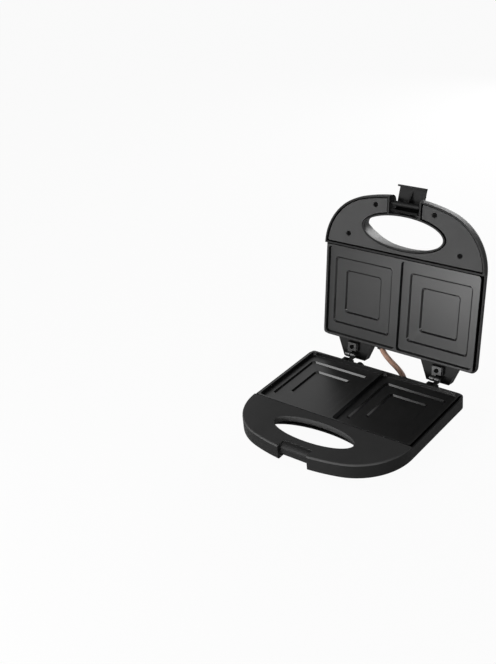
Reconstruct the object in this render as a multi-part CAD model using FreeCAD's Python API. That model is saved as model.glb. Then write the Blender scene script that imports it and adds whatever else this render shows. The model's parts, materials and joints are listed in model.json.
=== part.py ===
import FreeCAD, Part
import math
import os

# Sandwich maker with a hinged lid, modelled in millimetres.
# The cooking plates meet in the plane Z = 0 and their back edge lies at Y = 0 while the model is built.
# +X is to the right, +Y to the back, +Z up. The lid is built closed and then swung open to its stop.
# At the end everything is moved so that the origin is below the middle of the open appliance, on the table.

Vector = FreeCAD.Vector
X_AXIS = Vector(1, 0, 0)
Y_AXIS = Vector(0, 1, 0)
Z_AXIS = Vector(0, 0, 1)

# Cooking plates
PLATE_WIDTH = 220.0
PLATE_DEPTH = 124.7
PLATE_GAP = 0.6
PLATE_CORNER_R = 4.0
RIM_WIDTH = 2.5
RIM_DRAFT = 0.8
SKIRT_HEIGHT = 8.0
SKIRT_WALL = 3.2
FLOOR_DEPTH = 4.6
CASTING_T = 2.5
DIVIDER_WIDTH = 3.0
STEP_DEPTH = 2.0
POCKET_WIDTH = 86.0
POCKET_LENGTH = 92.0
POCKET_OUT = 1.0
POCKET_STEP = 16.2
POCKET_CORNER_R = 4.0
POST_R = 4.5
POST_SPREAD = 34.0

# Heating
HEATER_R = 3.2
HEATER_BEND_R = 12.0
HEATER_GAP = 0.15
HEATER_TAIL_X = 25.0
HEATER_TAIL_GAP = 5.0
REFLECTOR_GAP = 0.75
REFLECTOR_T = 0.6
REFLECTOR_OVERLAP = 5.0
THERMOSTAT_R = 8.5
THERMOSTAT_H = 6.0
TAB_T = 0.6
TAB_WIDTH = 4.2
TAB_LENGTH = 2.1
FUSE_R = 2.2
FUSE_LENGTH = 12.0
BLOCK_WIDTH = 30.0
BLOCK_DEPTH = 14.0
BLOCK_HEIGHT = 8.0
POLE_PITCH = 10.0
POLE_R = 2.0

# Shells: a D-shaped plan with straight sides, two corner arcs and one wide front arc
SHELL_WALL = 2.2
SIDE_GAP = 1.5
BACK_GAP = 0.8
BAY_GAP = 1.1
HANDLE_REACH = 77.2
CORNER_R = 72.9
FRONT_R = 224.4
BACK_CORNER_R = 8.0
FLOOR_T = 2.5
FIT_GAP = 0.3
BASE_ROUND = 1.8

# Handles: setbacks are measured forwards from the wall in front of the plates, and the hand room is
# how far the opening in the base handle's floor passes the oval
COVER_T = 2.4
COVER_ROUND = 1.5
COVER_LAP = 0.2
COVER_GAP = 1.5
COVER_SINK = 1.6
OVAL_SETBACK = 32.2
OVAL_A = 56.0
OVAL_B = 20.5
OVAL_COLLAR = 5.0
HAND_ROOM_X = 18.0
HAND_ROOM_Y = 8.0
FRONT_SCREW_X = 41.25
FRONT_SCREW_SETBACK = 61.5
SIDE_SCREW_IN = 34.6
SIDE_SCREW_SETBACK = 17.7
BOSS_R = 3.4

# Lid form
LID_REVEAL = 5.5
BAND_TOP = 17.8
EDGE_R = 10.8
CROWN_TOP = 37.2
CROWN_RISE = 13.75
DOME_SIDE_IN = 24.7
DOME_EDGE_Z = 25.0
DOME_FRONT_LAP = 8.0
DOME_BACK_IN = 4.5
DOME_CORNER_R = 16.0
SIDE_SLOPE = 1.0
END_SLOPE = 0.3
SCOOP_MID_Z = 24.0
SCOOP_MID_GROW = 4.5
SCOOP_TOP_Z = 40.0
SCOOP_TOP_GROW = 12.0
SCOOP_FOOT_Z = 3.0

# Lid panel and lamps: the panel's front edge is placed from the middle of the oval, its horns from the sides
PANEL_T = 0.8
PANEL_SIDE_IN = 3.5
PANEL_BACK_IN = 4.5
PANEL_HORN = 17.854
PANEL_FRONT_LAP = 34.0
PANEL_FRONT_R = 115.0
PANEL_CORNER_R = 11.0
PANEL_HORN_R = 6.0
LAMP_SETBACK = 30.5
LAMP_A = 26.0
LAMP_B = 10.5
LAMP_FRAME = 2.8
LAMP_LIP = 1.4
LAMP_LIP_T = 0.8
LAMP_BAR = 4.0
LAMP_DEPTH = 8.2
LENS_GAP = 0.2
LENS_PROUD = 0.4
HOLDER_DEPTH = 10.5
HOLDER_WALL = 2.0
WELL_R = 6.7
LAMP_R = 3.0
LAMP_LENGTH = 6.0
LAMP_ROUND = 2.4
LAMP_X = 11.0

# Hinges
HINGE_X = 63.0
HINGE_REACH = 16.5
HINGE_Z = -4.0
OPEN_ANGLE = 99.5
KNUCKLE_R = 3.6
LEAF_T = 1.8
LEAF_HALF = 6.5
PIN_R = 1.6
PIN_RUN = 0.05
PIN_HOLD = 0.02
PIN_HEAD = 1.0
KNUCKLE_GAP = 0.8
LUG_ROOT_HALF = 26.7
LUG_TIP_HALF = 16.0
LUG_PAST_PIN = 7.5
LUG_PAD_GAP = 4.9
LUG_HEIGHT = 12.0
LUG_SHIFT = 0.7
SHELF_HALF = 8.0

# Latch
LATCH_HALF = 18.4
LATCH_T = 2.4
LATCH_BARREL_R = 3.2
LATCH_PIN_R = 1.5
LATCH_OPEN = 105.0
LATCH_HEAD_END = 68.0
LATCH_FLUSH = 0.2
LIP_LENGTH = 5.2
LIP_T = 2.4
LIP_GAP = 0.7
LIP_WIDER = 0.8
RIB_PITCH = 6.5
RIB_SIZE = 0.6
NOTCH_HALF = 21.0
NOTCH_SIDE_GAP = 0.5
BAR_SETBACK = 6.0
BAR_BEND = 7.5
BAR_DROP = 13.2

# Bottom cover and feet
PAN_SIDE_IN = 9.7
PAN_FRONT_IN = 12.0
PAN_BACK_IN = 3.5
PAN_DEPTH = 9.5
PAN_CORNER_R = 12.0
PAN_EDGE_R = 3.0
VENT_PITCH = 26.0
VENT_WIDTH = 4.0
VENT_HEIGHT = 3.0
FOOT_HEIGHT = 6.0
FOOT_TOP_R = 12.5
FOOT_BOTTOM_R = 10.5
FOOT_PEG_R = 3.0
FOOT_ROUND = 1.8
FRONT_FOOT_X = 46.0
FRONT_FOOT_IN = 13.0
REAR_FOOT_SIDE_IN = 20.0
REAR_FOOT_IN = 13.5

# Fasteners
SCREW_R = 1.45
SCREW_HEAD_R = 2.9
SCREW_HEAD_H = 1.8
HEAD_GAP = 0.6
HEAD_SINK = 0.4
LEAF_HEAD_H = 1.3
SCREW_GAP = 0.1
SCREW_BITE = 7.0
SLOT_LENGTH = 3.4
SLOT_WIDTH = 0.6
SLOT_DEPTH = 0.5

# Link cable and cord gland
CABLE_R = 3.6
BUSH_WALL = 1.4
BUSH_FLANGE = 1.2
BUSH_LENGTH = 6.0
BASE_CABLE_X = 27.0
BASE_CABLE_DROP = 8.7
LID_CABLE_X = -30.0
LID_CABLE_RISE = 17.2
PORT_HALF = 8.0
PORT_OUT = 2.0
CABLE_LEAD = 9.0
CABLE_DROP = 8.0
CABLE_BEND_SHARE = 0.45
GLAND_X = -42.0
GLAND_DROP = 10.7
GLAND_R = 6.0
GLAND_BORE_R = 3.6
GLAND_LENGTH = 10.0

# Levels that follow from the dimensions above
HALF_GAP = PLATE_GAP / 2
RIM_Z = -HALF_GAP
UNDER_FLOOR = FLOOR_DEPTH + CASTING_T
UNDER_STEP = UNDER_FLOOR + STEP_DEPTH
UNDER_POCKET = UNDER_STEP + STEP_DEPTH
HEATER_Z = RIM_Z - UNDER_STEP - HEATER_GAP - HEATER_R
REFLECTOR_TOP = HEATER_Z - HEATER_R - REFLECTOR_GAP
FLOOR_TOP = REFLECTOR_TOP - REFLECTOR_T
BASE_BOTTOM = FLOOR_TOP - FLOOR_T
PAN_BOTTOM = BASE_BOTTOM - PAN_DEPTH
TABLE_Z = PAN_BOTTOM - FOOT_HEIGHT
COVER_UNDER = RIM_Z - COVER_T
LID_COVER_Z = HALF_GAP + COVER_SINK
BAR_BOTTOM = RIM_Z - BAR_DROP
LUG_BOTTOM = HINGE_Z + KNUCKLE_R + LUG_PAD_GAP
LUG_TOP = LUG_BOTTOM + LUG_HEIGHT

# Places that follow from the dimensions above
POCKET_X = PLATE_WIDTH / 4 + POCKET_OUT
POCKET_Y = -PLATE_DEPTH / 2
SHELL_HALF = PLATE_WIDTH / 2 + SIDE_GAP + SHELL_WALL
SHELL_BACK = BACK_GAP + SHELL_WALL
BAY_FRONT = -PLATE_DEPTH - BAY_GAP
SHELL_FRONT = BAY_FRONT - HANDLE_REACH
OVAL_Y = BAY_FRONT - OVAL_SETBACK
BASE_COVER_BACK = BAY_FRONT + COVER_LAP
LID_COVER_BACK = BAY_FRONT - SHELL_WALL - COVER_GAP
FRONT_CENTRE_Y = SHELL_FRONT + FRONT_R
CORNER_X = SHELL_HALF - CORNER_R
CORNER_Y = FRONT_CENTRE_Y - math.sqrt((FRONT_R - CORNER_R) ** 2 - CORNER_X ** 2)
DOME_HALF = SHELL_HALF - DOME_SIDE_IN
DOME_FRONT = OVAL_Y + DOME_FRONT_LAP
DOME_BACK = SHELL_BACK - DOME_BACK_IN
CROWN_R = (DOME_HALF ** 2 + CROWN_RISE ** 2) / (2 * CROWN_RISE)
CROWN_AXIS_Z = CROWN_TOP - CROWN_R
PANEL_HALF = DOME_HALF - PANEL_SIDE_IN
PANEL_BACK = DOME_BACK - PANEL_BACK_IN
PANEL_FRONT = OVAL_Y + PANEL_FRONT_LAP
PANEL_TIP = PANEL_FRONT - PANEL_FRONT_R + math.sqrt(PANEL_FRONT_R ** 2 - (PANEL_HALF - PANEL_HORN) ** 2)
LAMP_Y = PANEL_FRONT + LAMP_SETBACK
HINGE_Y = SHELL_BACK + HINGE_REACH
LUG_X = HINGE_X - LUG_SHIFT
LUG_TIP_Y = HINGE_Y + LUG_PAST_PIN
LEAF_START = SHELL_BACK + FIT_GAP
LEAF_END = HINGE_Y - KNUCKLE_R - LEAF_T
PIVOT = Vector(0, SHELL_FRONT + EDGE_R, BAND_TOP - EDGE_R)
HEAD_R = EDGE_R - LATCH_FLUSH
NOTCH_BACK = PIVOT.y + EDGE_R + LATCH_FLUSH
BASE_NOTCH_HALF = NOTCH_HALF - NOTCH_SIDE_GAP
BAR_FRONT = SHELL_FRONT + BAR_SETBACK
BAR_BACK = BAR_FRONT + BAR_BEND
PAN_HALF = SHELL_HALF - PAN_SIDE_IN
PAN_FRONT = BAY_FRONT + PAN_FRONT_IN
PAN_BACK = SHELL_BACK - PAN_BACK_IN
PORT_REACH = SHELL_BACK + PORT_OUT
BASE_CABLE = Vector(BASE_CABLE_X, 0, RIM_Z - BASE_CABLE_DROP)
LID_CABLE = Vector(LID_CABLE_X, 0, HALF_GAP + LID_CABLE_RISE)
GLAND_Z = RIM_Z - GLAND_DROP
FRONT_SCREW = Vector(FRONT_SCREW_X, BAY_FRONT - FRONT_SCREW_SETBACK, 0)
SIDE_SCREW = Vector(SHELL_HALF - SIDE_SCREW_IN, BAY_FRONT - SIDE_SCREW_SETBACK, 0)
FRONT_FOOT = Vector(FRONT_FOOT_X, PAN_FRONT + FRONT_FOOT_IN, 0)
REAR_FOOT = Vector(PAN_HALF - REAR_FOOT_SIDE_IN, PAN_BACK - REAR_FOOT_IN, 0)
POSTS = [Vector(sx * POCKET_X, POCKET_Y + sy * POST_SPREAD / 2, 0) for sx in (-1, 1) for sy in (-1, 1)]
LEAF_SCREWS = [Vector(x, (LEAF_START + LEAF_END) / 2, 0) for x in (-HINGE_X, HINGE_X)]
COVER_SCREWS = [Vector(sx * p.x, p.y, 0) for sx in (-1, 1) for p in (FRONT_SCREW, SIDE_SCREW)]

# Cutting blocks run past the faces they cut by OVERCUT, or right through the whole object by FAR
OVERCUT = 1.0
FAR = 400.0

# Edges nearer than this count as being at one place
TOUCH = 1e-3


def box(x0, x1, y0, y1, z0, z1):
    """A block between two corners."""
    return Part.makeBox(x1 - x0, y1 - y0, z1 - z0, Vector(x0, y0, z0))


def rod(start, axis, radius, length):
    """A round bar from a point along an axis."""
    return Part.makeCylinder(radius, length, start, axis)


def rods_at(places, z, radius, height):
    """Upright round bars at several places in plan."""
    return [rod(Vector(p.x, p.y, z), Z_AXIS, radius, height) for p in places]


def fuse_all(shapes):
    """One solid from several touching ones, added one after the other."""
    whole = shapes[0]
    for shape in shapes[1:]:
        whole = whole.fuse(shape)
    return whole


def cut_all(shape, tools):
    """A solid with several others taken away, one after the other."""
    for tool in tools:
        shape = shape.cut(tool)
    return shape


def mirrored_to_lid(shape):
    """The same piece turned upside down across the plane where the plates meet."""
    return shape.mirror(Vector(0, 0, 0), Z_AXIS)


def rect_wire(x0, x1, y0, y1, z, radius):
    """A rectangle with rounded corners."""
    corners = [(x1, y1, 0), (x0, y1, 90), (x0, y0, 180), (x1, y0, 270)]
    edges = []
    ends = []
    for x, y, angle in corners:
        centre_x = x - math.copysign(radius, x - (x0 + x1) / 2)
        centre_y = y - math.copysign(radius, y - (y0 + y1) / 2)
        arc = [polar(centre_x, centre_y, radius, math.radians(angle + step), z) for step in (0, 45, 90)]
        edges.append(Part.Arc(*arc).toShape())
        ends.append((arc[0], arc[2]))
    sides = [Part.LineSegment(ends[i][1], ends[(i + 1) % 4][0]).toShape() for i in range(4)]
    ordered = [edge for pair in zip(edges, sides) for edge in pair]
    return Part.Wire(ordered)


def prism(wire, height):
    """A wire filled and raised."""
    return Part.Face(wire).extrude(Vector(0, 0, height))


def rect_prism(x0, x1, y0, y1, z0, z1, radius):
    """A block with rounded upright edges."""
    return prism(rect_wire(x0, x1, y0, y1, z0, radius), z1 - z0)


def ellipse_wire(half_x, half_y, centre_y, z):
    """An ellipse in plan, centred on the middle plane."""
    centre = Vector(0, centre_y, z)
    on_x = centre + X_AXIS * half_x
    on_y = centre + Y_AXIS * half_y
    long_end, short_end = (on_x, on_y) if half_x >= half_y else (on_y, on_x)
    return Part.Wire([Part.Ellipse(long_end, short_end, centre).toShape()])


def ellipse_prism(half_x, half_y, centre_y, z0, z1):
    """An upright elliptical block."""
    return prism(ellipse_wire(half_x, half_y, centre_y, z0), z1 - z0)


def polar(x, y, radius, angle, z):
    """A point at an angle on a circle in plan."""
    return Vector(x + radius * math.cos(angle), y + radius * math.sin(angle), z)


def d_wire(inset, z):
    """The D-shaped plan of both shells, drawn in by inset."""
    half = SHELL_HALF - inset
    back = SHELL_BACK - inset
    back_r = BACK_CORNER_R - inset
    front = SHELL_FRONT + inset
    corner_r = CORNER_R - inset
    front_r = FRONT_R - inset
    meet_angle = math.atan2(CORNER_Y - FRONT_CENTRE_Y, CORNER_X)
    meet = polar(0, FRONT_CENTRE_Y, front_r, meet_angle, z)
    middle = polar(CORNER_X, CORNER_Y, corner_r, meet_angle / 2, z)
    turn = polar(half - back_r, back - back_r, back_r, math.pi / 4, z)
    right = [
        Part.LineSegment(Vector(half, back - back_r, z), Vector(half, CORNER_Y, z)),
        Part.Arc(Vector(half, CORNER_Y, z), middle, meet),
    ]
    front_arc = Part.Arc(meet, Vector(0, front, z), Vector(-meet.x, meet.y, z))
    left = [
        Part.Arc(Vector(-meet.x, meet.y, z), Vector(-middle.x, middle.y, z), Vector(-half, CORNER_Y, z)),
        Part.LineSegment(Vector(-half, CORNER_Y, z), Vector(-half, back - back_r, z)),
    ]
    end_left = Vector(-half + back_r, back, z)
    end_right = Vector(half - back_r, back, z)
    rear = [
        Part.Arc(Vector(-half, back - back_r, z), Vector(-turn.x, turn.y, z), end_left),
        Part.LineSegment(end_left, end_right),
        Part.Arc(end_right, turn, Vector(half, back - back_r, z)),
    ]
    return Part.Wire([curve.toShape() for curve in right + [front_arc] + left + rear])


def d_prism(inset, z0, z1):
    """An upright block with the D-shaped plan."""
    return prism(d_wire(inset, z0), z1 - z0)


def rounded_at(shape, z, radius):
    """The shape with its edges at one level rounded."""
    edges = [e for e in shape.Edges if max(abs(e.BoundBox.ZMin - z), abs(e.BoundBox.ZMax - z)) < TOUCH]
    return shape.makeFillet(radius, edges)


def screw(head_at, direction, length, head_height):
    """A pan-head screw: head_at is the seat below the head, direction is the way the shank points."""
    head = rod(head_at, direction * -1, SCREW_HEAD_R, head_height)
    shank = rod(head_at, direction, SCREW_R, length)
    half_length = SLOT_LENGTH / 2
    half_width = SLOT_WIDTH / 2
    across = box(-half_length, half_length, -half_width, half_width, -SLOT_DEPTH, SLOT_DEPTH)
    along = box(-half_width, half_width, -half_length, half_length, -SLOT_DEPTH, SLOT_DEPTH)
    cross = across.fuse(along)
    cross.translate(head_at - direction * head_height)
    return head.fuse(shank).cut(cross).removeSplitter()


def pocket_cut(x, length, width, top, bottom, slope):
    """A square hollow whose walls come in by slope towards its floor."""
    upper = rect_wire(
        x - width / 2, x + width / 2, POCKET_Y - length / 2, POCKET_Y + length / 2, top, POCKET_CORNER_R)
    lower = rect_wire(
        x - width / 2 + slope, x + width / 2 - slope,
        POCKET_Y - length / 2 + slope, POCKET_Y + length / 2 - slope, bottom, POCKET_CORNER_R)
    return Part.makeLoft([upper, lower], True, True)


def cooking_plate():
    """The lower plate: a rim, a divider, two stepped square pockets and four posts below."""
    half = PLATE_WIDTH / 2
    plate = rect_prism(-half, half, -PLATE_DEPTH, 0, RIM_Z - SKIRT_HEIGHT, RIM_Z, PLATE_CORNER_R)
    hollow = rect_prism(
        -half + SKIRT_WALL, half - SKIRT_WALL, -PLATE_DEPTH + SKIRT_WALL, -SKIRT_WALL,
        RIM_Z - SKIRT_HEIGHT - OVERCUT, RIM_Z - UNDER_FLOOR, PLATE_CORNER_R)
    plate = plate.cut(hollow)
    inner_width = POCKET_WIDTH - 2 * POCKET_STEP
    inner_length = POCKET_LENGTH - 2 * POCKET_STEP
    bay_width = half - RIM_WIDTH - DIVIDER_WIDTH / 2
    bay_x = DIVIDER_WIDTH / 2 + bay_width / 2
    floor = RIM_Z - FLOOR_DEPTH
    step = floor - STEP_DEPTH
    bottom = step - STEP_DEPTH
    pads = []
    cuts = []
    for side in (-1, 1):
        x = side * POCKET_X
        for width, length, under in (
            (POCKET_WIDTH, POCKET_LENGTH, UNDER_STEP),
            (inner_width, inner_length, UNDER_POCKET),
        ):
            pads.append(rect_prism(
                x - width / 2 - CASTING_T, x + width / 2 + CASTING_T,
                POCKET_Y - length / 2 - CASTING_T, POCKET_Y + length / 2 + CASTING_T,
                RIM_Z - under, floor, POCKET_CORNER_R + CASTING_T))
        cuts.append(pocket_cut(
            side * bay_x, PLATE_DEPTH - 2 * RIM_WIDTH, bay_width, RIM_Z, floor, RIM_DRAFT))
        cuts.append(pocket_cut(x, POCKET_LENGTH, POCKET_WIDTH, floor, step, STEP_DEPTH))
        cuts.append(pocket_cut(x, inner_length, inner_width, step, bottom, STEP_DEPTH))
    post_height = RIM_Z - UNDER_POCKET - REFLECTOR_TOP
    posts = rods_at(POSTS, REFLECTOR_TOP, POST_R, post_height + CASTING_T / 2)
    pilots = rods_at(POSTS, REFLECTOR_TOP, SCREW_R + SCREW_GAP, post_height + SCREW_GAP)
    return cut_all(fuse_all([plate] + pads + posts), cuts + pilots)


def heater():
    """A tubular element that runs round under both pockets, with its two tails at the back."""
    x_far = POCKET_X + POCKET_WIDTH / 2 - POCKET_STEP / 2
    y_back = POCKET_Y + POCKET_LENGTH / 2 - POCKET_STEP / 2
    y_front = POCKET_Y - POCKET_LENGTH / 2 + POCKET_STEP / 2
    corners = [
        Vector(-HEATER_TAIL_X, -HEATER_TAIL_GAP, HEATER_Z), Vector(-HEATER_TAIL_X, y_back, HEATER_Z),
        Vector(-x_far, y_back, HEATER_Z), Vector(-x_far, y_front, HEATER_Z),
        Vector(x_far, y_front, HEATER_Z), Vector(x_far, y_back, HEATER_Z),
        Vector(HEATER_TAIL_X, y_back, HEATER_Z), Vector(HEATER_TAIL_X, -HEATER_TAIL_GAP, HEATER_Z),
    ]
    return tube(corners, HEATER_R, [HEATER_BEND_R] * (len(corners) - 2))


def tube(points, radius, bends):
    """A round tube along straight runs joined by tangent arcs."""
    edges = []
    start = points[0]
    for before, corner, after, bend in zip(points, points[1:], points[2:], bends):
        to_back = (before - corner).normalize()
        to_front = (after - corner).normalize()
        half_turn = to_back.getAngle(to_front) / 2
        trim = bend / math.tan(half_turn)
        first = corner + to_back * trim
        last = corner + to_front * trim
        inward = (to_back + to_front).normalize()
        nearest = corner + inward * (bend / math.sin(half_turn) - bend)
        edges.append(Part.LineSegment(start, first).toShape())
        edges.append(Part.Arc(first, nearest, last).toShape())
        start = last
    edges.append(Part.LineSegment(start, points[-1]).toShape())
    path = Part.Wire(edges)
    direction = (points[1] - points[0]).normalize()
    section = Part.Wire([Part.makeCircle(radius, points[0], direction)])
    return path.makePipeShell([section], True, False)


def reflector(half, front, back):
    """A thin sheet behind a heater, with holes for the tie screws."""
    sheet = rect_prism(-half, half, front, back, FLOOR_TOP, REFLECTOR_TOP, PLATE_CORNER_R)
    holes = rods_at(POSTS, FLOOR_TOP - OVERCUT, SCREW_R + 2 * SCREW_GAP, REFLECTOR_T + 2 * OVERCUT)
    return cut_all(sheet, holes)


def base_shell():
    """The lower casing: a tray with a front handle open below, and two legs behind that carry the hinges."""
    outer = rounded_at(d_prism(0, BASE_BOTTOM, COVER_UNDER), BASE_BOTTOM, BASE_ROUND)
    inner = d_prism(SHELL_WALL, FLOOR_TOP, COVER_UNDER + OVERCUT)
    bay_wall = box(-FAR, FAR, BAY_FRONT - SHELL_WALL, BAY_FRONT, BASE_BOTTOM, COVER_UNDER)
    cheeks = [
        box(x0, x1, SHELL_FRONT - OVERCUT, BAR_BACK + SHELL_WALL, BASE_BOTTOM, COVER_UNDER)
        for x0, x1 in (
            (BASE_NOTCH_HALF, BASE_NOTCH_HALF + SHELL_WALL),
            (-BASE_NOTCH_HALF - SHELL_WALL, -BASE_NOTCH_HALF),
        )
    ]
    inside = [part.common(outer) for part in cheeks + [bay_wall]]
    shell = fuse_all([outer.cut(inner)] + inside)
    below = BASE_BOTTOM - OVERCUT
    notch = box(-BASE_NOTCH_HALF, BASE_NOTCH_HALF, SHELL_FRONT - OVERCUT, BAR_BACK, below, RIM_Z)
    hand_room = ellipse_prism(OVAL_A + HAND_ROOM_X, OVAL_B + HAND_ROOM_Y, OVAL_Y, below, FLOOR_TOP + OVERCUT)
    mouth_half = PAN_HALF - REFLECTOR_OVERLAP
    pan_mouth = rect_prism(
        -mouth_half, mouth_half, PAN_FRONT + REFLECTOR_OVERLAP, PAN_BACK - REFLECTOR_OVERLAP,
        below, FLOOR_TOP + OVERCUT, PLATE_CORNER_R)
    shell = cut_all(shell, [notch, hand_room, pan_mouth])
    shelf_top = HINGE_Z - KNUCKLE_R
    shelves = [
        box(x - SHELF_HALF, x + SHELF_HALF, SHELL_BACK - SHELL_WALL, LEAF_END, TABLE_Z, shelf_top)
        for x in (-HINGE_X, HINGE_X)
    ]
    shell = fuse_all([shell, latch_bar()] + shelves)
    holes = rods_at(COVER_SCREWS, below, SCREW_R + SCREW_GAP, FLOOR_T + 2 * OVERCUT)
    holes += rods_at(COVER_SCREWS, below, SCREW_HEAD_R + FIT_GAP, FLOOR_T / 2 + OVERCUT)
    holes += rods_at(LEAF_SCREWS, shelf_top - SCREW_BITE, SCREW_R + SCREW_GAP, SCREW_BITE + OVERCUT)
    inside_wall = SHELL_BACK - SHELL_WALL - OVERCUT
    through = SHELL_WALL + 2 * OVERCUT
    cable = Vector(BASE_CABLE.x, inside_wall, BASE_CABLE.z)
    gland = Vector(GLAND_X, inside_wall, GLAND_Z)
    holes.append(rod(cable, Y_AXIS, CABLE_R + BUSH_WALL + FIT_GAP / 2, through))
    holes.append(rod(gland, Y_AXIS, GLAND_R + FIT_GAP / 2, through))
    return cut_all(shell, holes)


def latch_bar():
    """The bent wall in the base's front notch, which the latch hooks under."""
    bend = BAR_BACK - BAR_FRONT
    top = RIM_Z - FIT_GAP
    turn = math.sqrt(0.5)
    inner = bend - SHELL_WALL
    inner_front = BAR_FRONT + SHELL_WALL
    web_front = BAR_BACK - SHELL_WALL
    outer_arc = Part.Arc(
        Vector(0, BAR_BACK, top),
        Vector(0, BAR_BACK - bend * turn, top - bend + bend * turn), Vector(0, BAR_FRONT, top - bend))
    inner_arc = Part.Arc(
        Vector(0, inner_front, top - bend),
        Vector(0, BAR_BACK - inner * turn, top - bend + inner * turn), Vector(0, BAR_BACK, top - SHELL_WALL))
    down = [
        Vector(0, BAR_FRONT, top - bend), Vector(0, BAR_FRONT, BAR_BOTTOM), Vector(0, web_front, BAR_BOTTOM),
        Vector(0, web_front, BASE_BOTTOM), Vector(0, BAR_BACK, BASE_BOTTOM),
        Vector(0, BAR_BACK, BAR_BOTTOM + SHELL_WALL), Vector(0, inner_front, BAR_BOTTOM + SHELL_WALL),
        Vector(0, inner_front, top - bend),
    ]
    runs = [Part.LineSegment(a, b).toShape() for a, b in zip(down, down[1:])]
    close = Part.LineSegment(Vector(0, BAR_BACK, top - SHELL_WALL), Vector(0, BAR_BACK, top)).toShape()
    profile = Part.Wire([outer_arc.toShape()] + runs + [inner_arc.toShape(), close])
    bar = Part.Face(profile).extrude(Vector(2 * BASE_NOTCH_HALF, 0, 0))
    bar.translate(Vector(-BASE_NOTCH_HALF, 0, 0))
    back_web = box(
        -BASE_NOTCH_HALF, BASE_NOTCH_HALF, BAR_BACK, BAR_BACK + SHELL_WALL, BASE_BOTTOM, COVER_UNDER)
    return bar.fuse(back_web)


def base_handle_cover():
    """The flat plate on the base's handle, with a collar round its oval and screw bosses below."""
    low = COVER_UNDER - OVERCUT
    high = RIM_Z + OVERCUT
    front = box(-FAR, FAR, SHELL_FRONT - OVERCUT, BASE_COVER_BACK, low, high)
    plate = rounded_at(d_prism(FIT_GAP / 2, COVER_UNDER, RIM_Z), RIM_Z, COVER_ROUND).common(front)
    collar_end = COVER_UNDER - OVAL_COLLAR
    rim = ellipse_prism(OVAL_A + SHELL_WALL, OVAL_B + SHELL_WALL, OVAL_Y, collar_end, COVER_UNDER)
    plate = fuse_all([plate, rim] + rods_at(COVER_SCREWS, FLOOR_TOP, BOSS_R, COVER_UNDER - FLOOR_TOP))
    oval = ellipse_prism(OVAL_A, OVAL_B, OVAL_Y, collar_end - OVERCUT, high)
    half = BASE_NOTCH_HALF + FIT_GAP / 2
    notch = box(-half, half, SHELL_FRONT - OVERCUT, BAR_BACK + FIT_GAP, low, high)
    pilots = rods_at(COVER_SCREWS, FLOOR_TOP, SCREW_R + SCREW_GAP, SCREW_BITE)
    return cut_all(plate, [oval, notch] + pilots)


def base_cover_screws():
    """Four screws that come up through the base shell into the handle cover's bosses."""
    seat = BASE_BOTTOM + FLOOR_T / 2
    length = FLOOR_TOP - seat + SCREW_BITE - FIT_GAP
    return Part.makeCompound([
        screw(Vector(p.x, p.y, seat), Z_AXIS, length, FLOOR_T / 2) for p in COVER_SCREWS])


def bottom_cover():
    """The tub under the base, with four tie-screw bosses and vents in its front wall."""
    tub = rect_prism(-PAN_HALF, PAN_HALF, PAN_FRONT, PAN_BACK, PAN_BOTTOM, BASE_BOTTOM, PAN_CORNER_R)
    tub = rounded_at(tub, PAN_BOTTOM, PAN_EDGE_R)
    hollow = rect_prism(
        -PAN_HALF + SHELL_WALL, PAN_HALF - SHELL_WALL, PAN_FRONT + SHELL_WALL, PAN_BACK - SHELL_WALL,
        PAN_BOTTOM + SHELL_WALL, BASE_BOTTOM + OVERCUT, PAN_CORNER_R - SHELL_WALL)
    bosses = rods_at(POSTS, PAN_BOTTOM, POST_R + SHELL_WALL, FLOOR_TOP - PAN_BOTTOM)
    tub = fuse_all([tub.cut(hollow)] + bosses)
    below = PAN_BOTTOM - OVERCUT
    cuts = rods_at(POSTS, below, SCREW_HEAD_R + FIT_GAP, SHELL_WALL + OVERCUT)
    cuts += rods_at(POSTS, below, SCREW_R + SCREW_GAP, PAN_DEPTH + FLOOR_T + 2 * OVERCUT)
    cuts += rods_at(foot_places(), below, FOOT_PEG_R + SCREW_GAP, SHELL_WALL + 2 * OVERCUT)
    vent_top = BASE_BOTTOM - SHELL_WALL
    for x in (-VENT_PITCH, 0, VENT_PITCH):
        cuts.append(box(
            x - VENT_WIDTH / 2, x + VENT_WIDTH / 2, PAN_FRONT - OVERCUT, PAN_FRONT + SHELL_WALL + OVERCUT,
            vent_top - VENT_HEIGHT, vent_top))
    return cut_all(tub, cuts)


def base_tie_screws():
    """Four long screws through the bottom cover and the reflector into the lower plate's posts."""
    seat = PAN_BOTTOM + SHELL_WALL
    length = RIM_Z - UNDER_POCKET - seat - FIT_GAP
    return Part.makeCompound([screw(Vector(p.x, p.y, seat), Z_AXIS, length, SCREW_HEAD_H) for p in POSTS])


def foot_places():
    """Plan positions of the four feet."""
    return [Vector(side * p.x, p.y, 0) for p in (FRONT_FOOT, REAR_FOOT) for side in (-1, 1)]


def foot(place):
    """A tapered foot with a peg that plugs into the bottom cover."""
    body = Part.makeCone(FOOT_BOTTOM_R, FOOT_TOP_R, FOOT_HEIGHT, Vector(place.x, place.y, TABLE_Z))
    body = rounded_at(body, TABLE_Z, FOOT_ROUND)
    peg = rod(Vector(place.x, place.y, PAN_BOTTOM), Z_AXIS, FOOT_PEG_R, SHELL_WALL)
    return body.fuse(peg).removeSplitter()


def thermostat():
    """A disc thermostat against the lower plate between the two pockets, with two tabs."""
    under = RIM_Z - UNDER_FLOOR - THERMOSTAT_H
    body = rod(Vector(0, POCKET_Y, under), Z_AXIS, THERMOSTAT_R, THERMOSTAT_H)
    half_t = TAB_T / 2
    front = POCKET_Y - TAB_WIDTH / 2
    tabs = [
        box(x - half_t, x + half_t, front, front + TAB_WIDTH, under - TAB_LENGTH, under + TAB_T)
        for x in (-THERMOSTAT_R / 2, THERMOSTAT_R / 2)
    ]
    return fuse_all([body] + tabs)


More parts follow.
